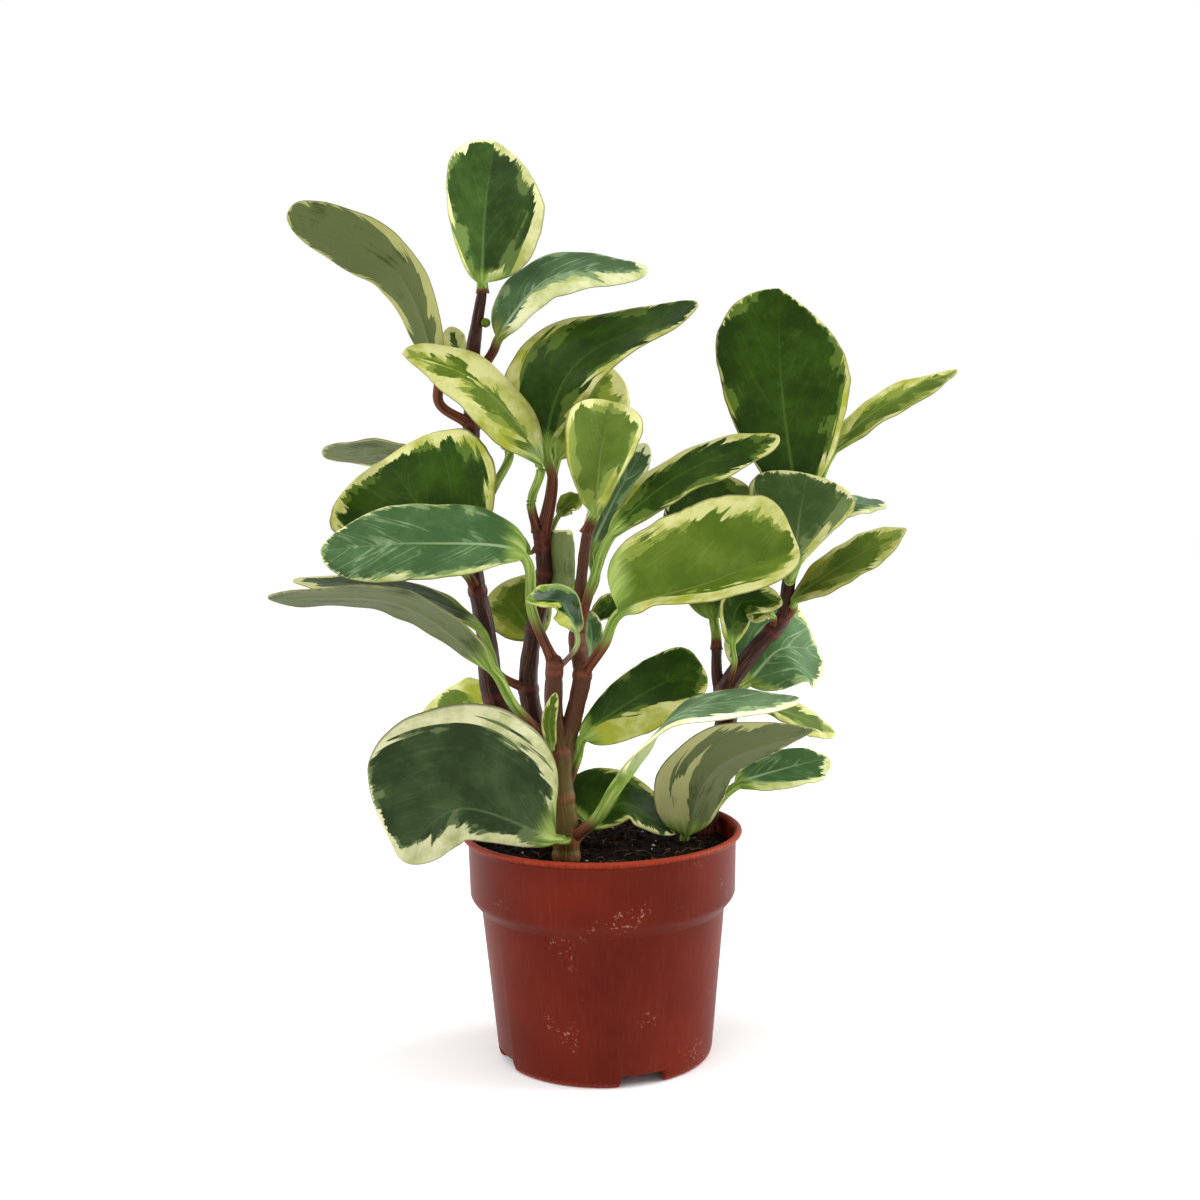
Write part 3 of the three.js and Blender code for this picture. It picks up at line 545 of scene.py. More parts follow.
@dataclass(frozen=True)
class PlasticFinish:
    """Nursery pot: thin polypropylene, moulded, coloured like terracotta.

    The mould leaves a satin skin with faint upright scuffs and a little pale dust. The lip's top has a
    painted highlight.
    """

    name: str = "terracotta_coloured_polypropylene"
    body: str = "#531001"
    faded: str = "#661a06"
    # paler red: the painted highlight on the lip's top, and the paler foot
    lip_highlight_and_foot: str = "#a23a20"
    dust: str = "#b98a76"
    # Sizes of the markings, mm; a scuff's are (across, upwards).
    clouds: float = 45.5
    scuff: Pair = (1.11, 16.7)
    fleck: float = 1.92
    patch: float = 18.2

    def material(self) -> bpy.types.Material:
        """Builds the node material on Object coordinates."""
        material, tree = new_material(self.name)
        place = add_node(tree, "TexCoord", out="Object")

        # Faded clouds and upright scuffs.
        cloud = add_node(tree, "TexNoise", {
            "Vector": place, "Scale": per_metre(self.clouds), "Detail": 3.0})
        base = add_node(tree, "ValToRGB", {0: cloud}, stops=((0.35, self.body), (0.68, self.faded)))
        across, upwards = (per_metre(size) for size in self.scuff)
        upright = add_node(tree, "Mapping", {0: place, "Scale": (across, across, upwards)})
        scuff = add_node(tree, "TexNoise", {"Vector": upright, "Scale": 1.0, "Detail": 2.0})

        # Dust: flecks in patches.
        fleck = add_node(tree, "TexNoise", {
            "Vector": place, "Scale": per_metre(self.fleck), "Detail": 3.0, "Roughness": 0.75})
        patch = add_node(tree, "TexNoise", {
            "Vector": place, "Scale": per_metre(self.patch), "Detail": 1.0})
        patch = add_node(tree, "MapRange", {0: patch, 1: 0.61, 2: 0.72, 4: 0.6})
        dusty = add_node(tree, "MapRange", {0: fleck, 1: 0.58, 2: 0.68})
        dusty = add_node(tree, "Math", {0: dusty, 1: patch}, operation="MULTIPLY")

        # Painted highlight: the lip's top is painted paler, as lit from above; the foot's last few
        # millimetres are painted paler too.
        height = add_node(tree, "SeparateXYZ", {0: place}, out=2)
        ragged_height = add_node(tree, "Math", {0: scuff, 1: 4 * MM, 2: height}, operation="MULTIPLY_ADD")
        top = add_node(tree, "MapRange", {0: ragged_height, 1: 98.5 * MM, 2: 100.5 * MM, 4: 0.7})
        foot = add_node(tree, "MapRange", {0: ragged_height, 1: 4.5 * MM, 2: 3.0 * MM, 4: 0.45})
        edges = add_node(tree, "Math", {0: top, 1: foot}, operation="MAXIMUM")
        base = add_node(tree, "Mix", {0: edges, 6: base, 7: colour(self.lip_highlight_and_foot)}, out=2, data_type="RGBA")
        film = add_node(tree, "MapRange", {0: scuff, 1: 0.5, 2: 0.8, 4: 0.025})
        base = add_node(tree, "Mix", {0: film, 6: base, 7: colour(self.dust)}, out=2, data_type="RGBA")
        base = add_node(tree, "Mix", {0: dusty, 6: base, 7: colour(self.dust)}, out=2, data_type="RGBA")

        rough = add_node(tree, "MapRange", {0: cloud, 1: 0.3, 2: 0.7, 3: 0.38, 4: 0.50})
        grain = add_node(tree, "Math", {0: scuff, 1: 0.4, 2: fleck}, operation="MULTIPLY_ADD")
        normal = add_node(tree, "Bump", {"Height": grain, "Strength": 0.12, "Distance": 0.3 * MM})
        shader = add_node(tree, "BsdfPrincipled", {
            "Base Color": base, "Roughness": rough, "Normal": normal, "IOR": 1.49,
            "Specular IOR Level": 0.1})
        add_node(tree, "OutputMaterial", {"Surface": shader})
        return material


@dataclass(frozen=True)
class PeatFinish:
    """Loose plant matter in the pot, such as peat, bark fibre or perlite: matt, dry on top."""

    name: str
    shades: tuple[str, ...]
    pitch: float
    roughness: float = 0.95

    def material(self) -> bpy.types.Material:
        """Builds the node material: shades in clumps of the given pitch, in millimetres."""
        material, tree = new_material(self.name)
        place = add_node(tree, "TexCoord", out="Object")
        clump = add_node(tree, "TexNoise", {
            "Vector": place, "Scale": per_metre(self.pitch), "Detail": 4.0, "Roughness": 0.7})
        steps = len(self.shades) - 1
        stops = tuple((0.34 + 0.34 * k / steps, code) for k, code in enumerate(self.shades))
        base = add_node(tree, "ValToRGB", {0: clump}, stops=stops)
        normal = add_node(tree, "Bump", {"Height": clump, "Strength": 0.8, "Distance": 0.8 * MM})
        shader = add_node(tree, "BsdfPrincipled", {
            "Base Color": base, "Roughness": self.roughness, "Normal": normal, "IOR": 1.45,
            "Specular IOR Level": 0.1})
        add_node(tree, "OutputMaterial", {"Surface": shader})
        return material


class Tone(Enum):
    """The leaf finishes by the look of the leaf's green."""

    DARK = "dark green"
    BLUE = "blue-green with white veins"
    OLIVE = "olive green"
    GREY = "grey-green, mostly seen from below"
    GLOSSY = "very glossy, newly opened"


LEAF_FINISHES = {
    Tone.DARK: LeafFinish(
        "waxy_leaf_dark", "leaf_dark_green", dark="#1e3404", mid="#34500e", pale="#5d722c",
        vein="#4c6a2a", cream="#c6c584", lime="#969c34", under="#3c4a18", under_pale="#5f6c36",
        vein_strength=0.2),
    Tone.BLUE: LeafFinish(
        "waxy_leaf_blue", "leaf_blue_green", dark="#38552c", mid="#507044", pale="#809860",
        vein="#a2b88c", cream="#cfd19c", lime="#a2ac58", under="#4a5a28", under_pale="#6e7c48",
        vein_strength=0.45, roughness=0.32),
    Tone.OLIVE: LeafFinish(
        "waxy_leaf_olive", "leaf_olive", dark="#4b6214", mid="#647828", pale="#88963e",
        vein="#7c8c44", cream="#c8c784", lime="#989e34", under="#4c5624", under_pale="#747a42",
        vein_strength=0.2),
    Tone.GREY: LeafFinish(
        "waxy_leaf_grey", "leaf_grey_green", dark="#324a18", mid="#486024", pale="#6e8044",
        vein="#6e8048", cream="#c6c584", lime="#9aa040", under="#36441c", under_pale="#606a40",
        vein_strength=0.3),
    Tone.GLOSSY: LeafFinish(
        "waxy_leaf_new", "leaf_dark_green", dark="#0c3404", mid="#1f5c0e", pale="#7ca030",
        vein="#5f8c3c", cream="#cbd058", lime="#a0b018", under="#48602c", under_pale="#748c4c",
        vein_strength=0.15, roughness=0.16, specular=0.6, coat=0.6),
}


# ---- Stems -----------------------------------------------------------------------------------

# Each branch: x, y, z and radius from its root to its tip, mm.
BRANCHES: dict[str, tuple[tuple[float, float, float, float], ...]] = {
    "front": ((-15, -25, 64, 5.6), (-15, -25, 87, 5.5), (-15, -25, 103, 5.6), (-17, -24, 125, 5.2),
              (-17, -24, 135, 5.4), (-19, -24, 151, 3.9), (-19, -24, 163, 3.8), (-18, -23, 178, 3.2)),
    "front_fork": ((-16, -24, 134, 4.2), (-12, -23, 148, 3.8), (-9, -22, 159, 3.7), (-7, -21, 169, 3.9),
                   (-9, -18, 183, 3.2), (-7, -15, 206, 2.4), (-4, -12, 228, 2.2)),
    "middle": ((-23, -6, 64, 4.2), (-24, -7, 94, 4.2), (-26, -8, 139, 4.2), (-30, -8, 161, 4.2),
               (-28, -7, 182, 3.6), (-23, -6, 203, 3.4), (-23, -5, 222, 3.2), (-25, -5, 229, 2.2)),
    "tall": ((-28, 10, 64, 5.4), (-28, 10, 87, 5.4), (-35, 10, 134, 5.6), (-46, 10, 158, 5.4),
             (-48, 10, 180, 4.2), (-53, 10, 214, 3.6), (-52, 8, 272, 3.4), (-51, 6, 299, 3.2),
             (-46, 5, 328, 1.9)),
    "right": ((39, 16, 64, 4.2), (45, 18, 90, 4.4), (50, 17, 124, 4.6), (55, 15, 144, 4.8),
              (55, 14, 156, 4.4), (67, 13, 173, 3.8), (79, 12, 187, 3.4), (82, 12, 203, 2.8),
              (86, 12, 217, 2.6), (88, 12, 228, 2.2)),
    "right_side": ((53, 15, 149, 3.2), (51, 17, 162, 2.4), (51, 19, 174, 2.2)),
}


def branch_points(name: str) -> Array:
    """A branch's points, (n, 3) mm."""
    return np.array(BRANCHES[name], float)[:, :3]


@dataclass
class Stem:
    """A stem and the branches that it forks into, with a swollen ring at each leaf's node.

    number picks the pattern of its lumps and of its bark. Sizes are in mm, and a groove lies to
    each side of a node, groove_at away from it.
    """

    node: str
    branches: tuple[str, ...]
    finish: BarkFinish
    number: float
    sides: int = 28
    step: float = 1.0
    cap_rings: int = 8
    swelling: float = 0.45
    swelling_reach: float = 2.2
    groove: float = 0.25
    groove_at: float = 2.6
    groove_reach: float = 0.6
    rib: float = 0.12
    rib_count: int = 7
    lump: float = 0.14
    lump_pitch: float = 14.0
    redness_reach: float = 1.1
    tallest: float = 330.0

    def tube(self, name: str, nodes_at: list[float]) -> tuple[Array, Array, Array]:
        """One branch as rings round its curve.

        Each ring is a circle of the branch's radius there, plus a bell-shaped swelling at every
        node, ribs and lumps, and the last rings close in along a quarter circle.

        Args:
            name: the branch.
            nodes_at: fractions along the branch where leaves leave it.

        Returns:
            Points, stem_skin and stem_age, each (rings, sides, 3).
        """
        points = branch_points(name)
        radii = np.array(BRANCHES[name], float)[:, 3]
        fine = np.linspace(0.0, 1.0, 400)
        chords = np.linalg.norm(np.diff(spline(points, fine), axis=0), axis=1)
        run = np.concatenate([[0.0], np.cumsum(chords)])
        length, end = run[-1], radii[-1]
        closing = np.sin(np.linspace(0.0, 0.49 * np.pi, self.cap_rings))
        s = np.concatenate([np.arange(0.0, length - end, self.step), length - end * (1 - closing)])
        t = np.interp(s, run, fine)
        centre, along = spline(points, t), tangents(points, t)
        radius = np.interp(t * (len(points) - 1), np.arange(len(points)), radii)

        # The 2.0 lies past the tip and stands for a far node, for a branch that has none.
        at = np.interp(np.array(nodes_at + [2.0]), fine, run, right=1e6)
        gap = np.abs(s[:, None] - at[None, :]).min(1)
        radius = (radius + self.swelling * np.exp(-((gap / self.swelling_reach) ** 2))
                  - self.groove * np.exp(-(((gap - self.groove_at) / self.groove_reach) ** 2)))
        close = np.sqrt(np.clip(1.0 - ((s - length + end) / end).clip(0.0, 1.0) ** 2, 0.0, 1.0))
        radius = radius * close
        a = unit(np.cross(along, np.array([0.0, 1.0, 0.01])))
        b = np.cross(along, a)
        turn = np.linspace(0.0, 2 * np.pi, self.sides, endpoint=False)
        twist = self.rib_count * turn[None, :] + 0.02 * s[:, None] + self.number
        ribs = self.rib * np.sin(twist) * close[:, None]
        wander = s[:, None] / self.lump_pitch + 0.3 * np.sin(turn)[None, :]
        lumps = self.lump * waves(wander, int(self.number)) * close[:, None]
        size = (radius[:, None] + ribs + lumps)[..., None]
        rings = centre[:, None, :] + size * (np.cos(turn)[None, :, None] * a[:, None, :]
                                             + np.sin(turn)[None, :, None] * b[:, None, :])
        ones = np.ones(size.shape[:2])
        far = (s + 50 * self.number)[:, None]
        skin = np.stack([np.cos(turn) * ones, np.sin(turn) * ones, far * ones], -1)
        height, near = rings[:, :, 2].mean(1) / self.tallest, np.exp(-((gap / self.redness_reach) ** 2))
        age = np.stack([height[:, None] * ones, near[:, None] * ones, self.number * ones], -1)
        return rings, skin, age

    def build(self, leaves: tuple[Leaf, ...]) -> bpy.types.Object:
        """Builds the stem as one piece that stands for its CAD node.

        Args:
            leaves: all the plant's leaves, of which those on this stem mark its nodes.

        Returns:
            The stem's object.
        """
        points, quads, fans, skins, ages = [], [], [], [], []
        count = 0
        for name in self.branches:
            starts = [leaf.on for leaf in leaves if leaf.on]
            rings, skin, age = self.tube(name, [at for branch, at in starts if branch == name and at < 1])
            faces = ring_faces(*rings.shape[:2])
            points.append(with_ends(rings))
            skins.append(with_ends(skin))
            ages.append(with_ends(age))
            quads.append(faces[0] + count)
            fans.append(faces[1] + count)
            count += len(points[-1])
        obj = make_object(self.node.replace("stem_", "") + "_stem", np.vstack(points), quads + fans,
                          {"stem_skin": np.vstack(skins), "stem_age": np.vstack(ages)})
        finish_piece(obj, self.finish.material(), self.node)
        return obj


# ---- Leaves ----------------------------------------------------------------------------------


@dataclass(frozen=True)
class LeafSize:
    """Sizes that the grown or the young leaves share, mm, and how finely they are drawn.

    A leaf at a branch's end starts sink inside it, and one on its side under_skin from its middle.
    The stalk widens there by the share flare. ripple is the outline's waviness as a share of its
    width. The outer part of a blade 40 mm wide, from roll_from on, rolls down by roll. Veins run
    out from the midrib every vein_pitch, along rows that lean towards the tip by vein_slope and
    bend on by vein_bend, and the tissue between them swells by swelling. groove is the depth of
    the channel over the midrib and groove_reach its half width.
    """

    thickness: float
    rib: float
    petiole: float
    along: int
    across: int
    sink: float = 1.6
    under_skin: float = 2.2
    least_half: float = 0.4
    flare: float = 0.35
    flare_reach: float = 2.5
    ripple: float = 0.02
    roll: float = 0.5
    roll_from: float = 0.82
    vein_slope: float = 1.15
    vein_bend: float = 0.9
    vein_pitch: float = 6.5
    swelling: float = 0.16
    groove: float = 0.32
    groove_reach: float = 0.9


GROWN = LeafSize(thickness=0.9, rib=1.1, petiole=2.2, along=84, across=40)
YOUNG = LeafSize(thickness=0.8, rib=0.3, petiole=1.2, along=44, across=24)


@dataclass
class Leaf:
    """One leaf on its stalk.

    It starts on a branch at a fraction of its length, or at a root in the soil. The stalk bends
    at bend and becomes the blade at neck, and the midrib runs on through mid to tip. half is
    half the blade's width and face the way its upper side looks. Fold lifts a half at the midrib
    and cup curls it on towards the edge, in degrees; side scales a half, and rise and round
    shape its base and tip. Each of these is (right, left) as seen down the blade, as are cream,
    the width of the cream border in mm at equal steps from neck to tip, and bright, the share
    of brightness added to it. grey is the share of saturation taken. bright and grey are partly
    the leaf's own tone and partly painted light: a painted sheen where they make a leaf or a
    half paler and greyer, painted shade where they make it darker. flush is how far up the
    stalk its purple reaches, as a share of it, and wave is the height of the edge's ripples, mm.
    stalk is the stalk's half width where it isn't its size's petiole.
    """

    node: str
    bend: Point
    neck: Point
    mid: Point
    tip: Point
    half: float
    face: Point
    tone: Tone
    on: tuple[str, float] | None = None
    root: Point | None = None
    face_tip: Point | None = None
    side: Pair = (1, 1)
    fold: Pair = (0, 0)
    cup: Pair = (0, 0)
    rise: Pair = (0.75, 0.75)
    round: Pair = (0.55, 0.55)
    stalk: float = 0.0
    size: LeafSize = GROWN
    cream: tuple[tuple[float, ...], tuple[float, ...]] = ((2, 3, 3, 2), (2, 3, 3, 2))
    wave: float = 0.9
    # bright and grey: partly the leaf's own tone, partly painted sheen and painted shade
    bright: Pair = (0, 0)
    grey: float = 0.0
    flush: float = 0.5

    def number(self) -> int:
        """The leaf's own number, from the letters of its name: it picks the leaf's pattern."""
        return sum(ord(letter) * (k + 1) for k, letter in enumerate(self.node)) % 997

    def midrib(self) -> Array:
        """The five points that the midrib passes through."""
        start = self.root or spline(branch_points(self.on[0]), np.array([self.on[1]]))[0]
        return np.array([start, self.bend, self.neck, self.mid, self.tip], float)

    def surface(self) -> tuple[Array, dict[str, Array]]:
        """The leaf as rings of points round its midrib, and what its material reads.

        Down the leaf, u is 0 on the stalk and runs 0..1 along the blade. The half width is the
        stalk's, falling as the root of 1 - u, plus half times the blade's shape, which is
        (u/w)^rise ((1-u)/(1-w))^round with its widest place w where the powers balance. Across
        it, v runs -1..1, and each half is an arc that leaves the midrib at the fold's angle and
        turns by the cup's angle. Each ring goes over the upper side from left to right and back
        under the lower side, which lies one thickness away, rounded to nothing at the edges.

        Returns:
            The rings, (rings, sides, 3), and the attributes, (rings * sides + 2, 3) each.
        """
        points = self.midrib()
        size, seed = self.size, self.number()
        at_end = self.on is not None and self.on[1] == 1
        if at_end:
            points[0] -= size.sink * unit(points[1] - points[0])
        stalk = self.stalk or size.petiole

        # Rows: from just under the stem's skin to the neck, half way through the midrib's points,
        # and on to the tip, denser at both ends. The stalk flattens in the blade's first quarter.
        neck = 0.5
        fine = np.linspace(0.0, neck, 200)
        run = np.linalg.norm(spline(points, fine) - points[0], axis=1)
        first = float(fine[np.argmax(run >= (0.0 if self.root or at_end else size.under_skin))])
        rows = size.along // 4
        k = np.linspace(0.0, 1.0, size.along)
        dense = 0.25 * k + 0.75 * (1 - np.cos(np.pi * k)) / 2
        t = np.concatenate([np.linspace(first, neck, rows, endpoint=False), neck + (1 - neck) * dense])
        u = np.clip((t - neck) / (1 - neck), 0.0, 1.0)
        flat = smooth(u / 0.25)
        centre, along = spline(points, t), tangents(points, t)
        chords = np.linalg.norm(np.diff(centre, axis=0), axis=1)
        length = np.concatenate([[0.0], np.cumsum(chords)])
        face, face_tip = (unit(np.array(f, float)) for f in (self.face, self.face_tip or self.face))
        up = face + (face_tip - face) * smooth(u)[:, None]
        up = unit(up - (up * along).sum(1, keepdims=True) * along)
        right = np.cross(along, up)

        # Columns: dense at the midrib and at the edges.
        w = np.linspace(-1.0, 1.0, size.across + 1)
        v = w - 0.1 * np.sin(2 * np.pi * w)
        v = np.concatenate([v, v[-2:0:-1]])
        over = np.concatenate([np.ones(size.across + 1), np.zeros(size.across - 1)])
        over[[0, size.across]] = 0.5
        reach = np.abs(v)[None, :]
        sign = np.sign(v)[None, :]
        hand = np.where(v > 0, 0, 1)
        U, F = u[:, None], flat[:, None]  # u and flat laid out down the rows

        def each(pair: Pair) -> Array:
            """A (right, left) pair laid out over the columns."""
            return np.array(pair, float)[hand][None, :]

        rise, rounding = each(self.rise), each(self.round)
        widest = rise / (rise + rounding)
        shape = (np.maximum(U, 1e-9) / widest) ** rise
        shape = shape * (np.maximum(1 - U, 0) / (1 - widest)) ** rounding
        shape = np.where(U > 0, shape, 0.0)
        flare = 1 + size.flare * np.exp(-length / size.flare_reach)[:, None] * (0 if self.root else 1)
        stem = stalk * np.sqrt(np.clip(1 - U, 0, 1)) * flare
        ripple = 1 + size.ripple * waves(U * 3.1 + 0.37 * sign, seed) * F
        half = np.maximum(size.least_half, stem + self.half * each(self.side) * shape * ripple)
        lift = np.radians(each(self.fold)) * F
        curl = np.radians(each(self.cup)) * F
        curl = np.where(np.abs(curl) < 1e-4, 1e-4, curl)
        x = half * (np.sin(lift + curl * reach) - np.sin(lift)) / curl
        z = half * (np.cos(lift) - np.cos(lift + curl * reach)) / curl
        lean = (lift + curl * reach) * sign

        # Relief: a waved edge that rolls down a little, and tissue that swells between veins.
        fade = F * np.clip((1 - U) / 0.12, 0, 1)
        z = z + self.wave * reach**2.5 * waves(U * 2.0 + 0.31 * sign, seed + 5, 2) * fade
        rolled = smooth((reach - size.roll_from) / (1 - size.roll_from)) ** 2
        z = z - size.roll * rolled * fade * self.half / 20
        run_mm = (length - length[rows])[:, None]
        reach_mm = half * reach
        vein = run_mm - size.vein_slope * reach_mm - size.vein_bend * reach_mm**2 / max(self.half, 1.0)
        quilt = smooth((np.abs(((vein / size.vein_pitch) % 1.0) - 0.5) * 2 - 0.72) / 0.28)
        z = z - size.swelling * quilt * fade * (1 - reach**4) * min(1.0, self.half / 12)
        groove = size.groove * np.exp(-((reach_mm / size.groove_reach) ** 2)) * F * (1 - U)

        # Both sides: the stalk is round below and a shallow channel above, and the blade has its
        # thickness up to a rounded edge, with the midrib's groove above and its rib below.
        normal = up[:, None, :] * np.cos(lean)[..., None] - right[:, None, :] * np.sin(lean)[..., None]
        sideways = right[:, None, :] * (x * sign)[..., None]
        middle = centre[:, None, :] + sideways + up[:, None, :] * z[..., None]
        roundness = np.sqrt(np.clip(1 - reach**2, 0, 1))
        blade = size.thickness / 2 * np.sqrt(np.clip(1 - reach**20, 0, 1))
        rib = size.rib * np.clip(1 - 2.6 * reach, 0, 1) ** 2 * (1 - U)
        channel = 1 - 0.45 * np.exp(-((v[None, :] / 0.4) ** 2))
        above = stem * 0.75 * roundness * channel * (1 - F) + (blade - groove) * F
        below = stem * roundness * (1 - F) + (blade + rib) * F
        offset = np.where(over[None, :] >= 0.5, above, -below)
        offset[:, [0, size.across]] = 0.0
        rings = middle + normal * offset[..., None]

        # Border distances: how far inside the outline, less the width of the cream there. The two
        # halves' widths and brightness blend across the midrib; the brightness paints sheen and shade
        # on a half as well as its tone.
        slope = np.gradient(half, axis=0) / np.maximum(np.gradient(length)[:, None], 1e-6)
        edge = half * (1 - reach) / np.sqrt(1 + slope**2)
        widths = [np.interp(u, np.linspace(0, 1, len(steps)), steps)[:, None] for steps in self.cream]
        mean_width = 0.5 * (widths[0] + widths[1])
        cream = mean_width + (np.where(v[None, :] > 0, *widths) - mean_width) * smooth(reach / 0.12)
        halves = smooth(0.5 + 0.5 * np.clip(reach_mm * sign / 1.5, -1, 1))
        bright = self.bright[1] + (self.bright[0] - self.bright[1]) * halves
        ones = np.ones_like(half)
        up_stalk = (np.clip((t - first) / max(neck - first, 1e-6), 0, 1) / self.flush)[:, None]
        attributes = {
            "leaf_vein": np.stack([vein, reach_mm * sign, ones * (seed % 100) * 0.73], -1),
            "leaf_edge": np.stack([edge - cream, ones * over[None, :], ones * F], -1),
            "leaf_place": np.stack([ones * v[None, :], ones * U, ones * up_stalk], -1),
            "leaf_tint": np.stack([bright, ones * self.grey, edge], -1),
        }
        return rings, {key: with_ends(values) for key, values in attributes.items()}

    def build(self, materials: dict[Tone, bpy.types.Material]) -> bpy.types.Object:
        """Builds the leaf as one piece that stands for its CAD node."""
        rings, attributes = self.surface()
        name = self.node.removeprefix("leaf_") + "_leaf"
        obj = make_object(name, with_ends(rings), list(ring_faces(*rings.shape[:2])), attributes)
        finish_piece(obj, materials[self.tone], self.node)
        return obj
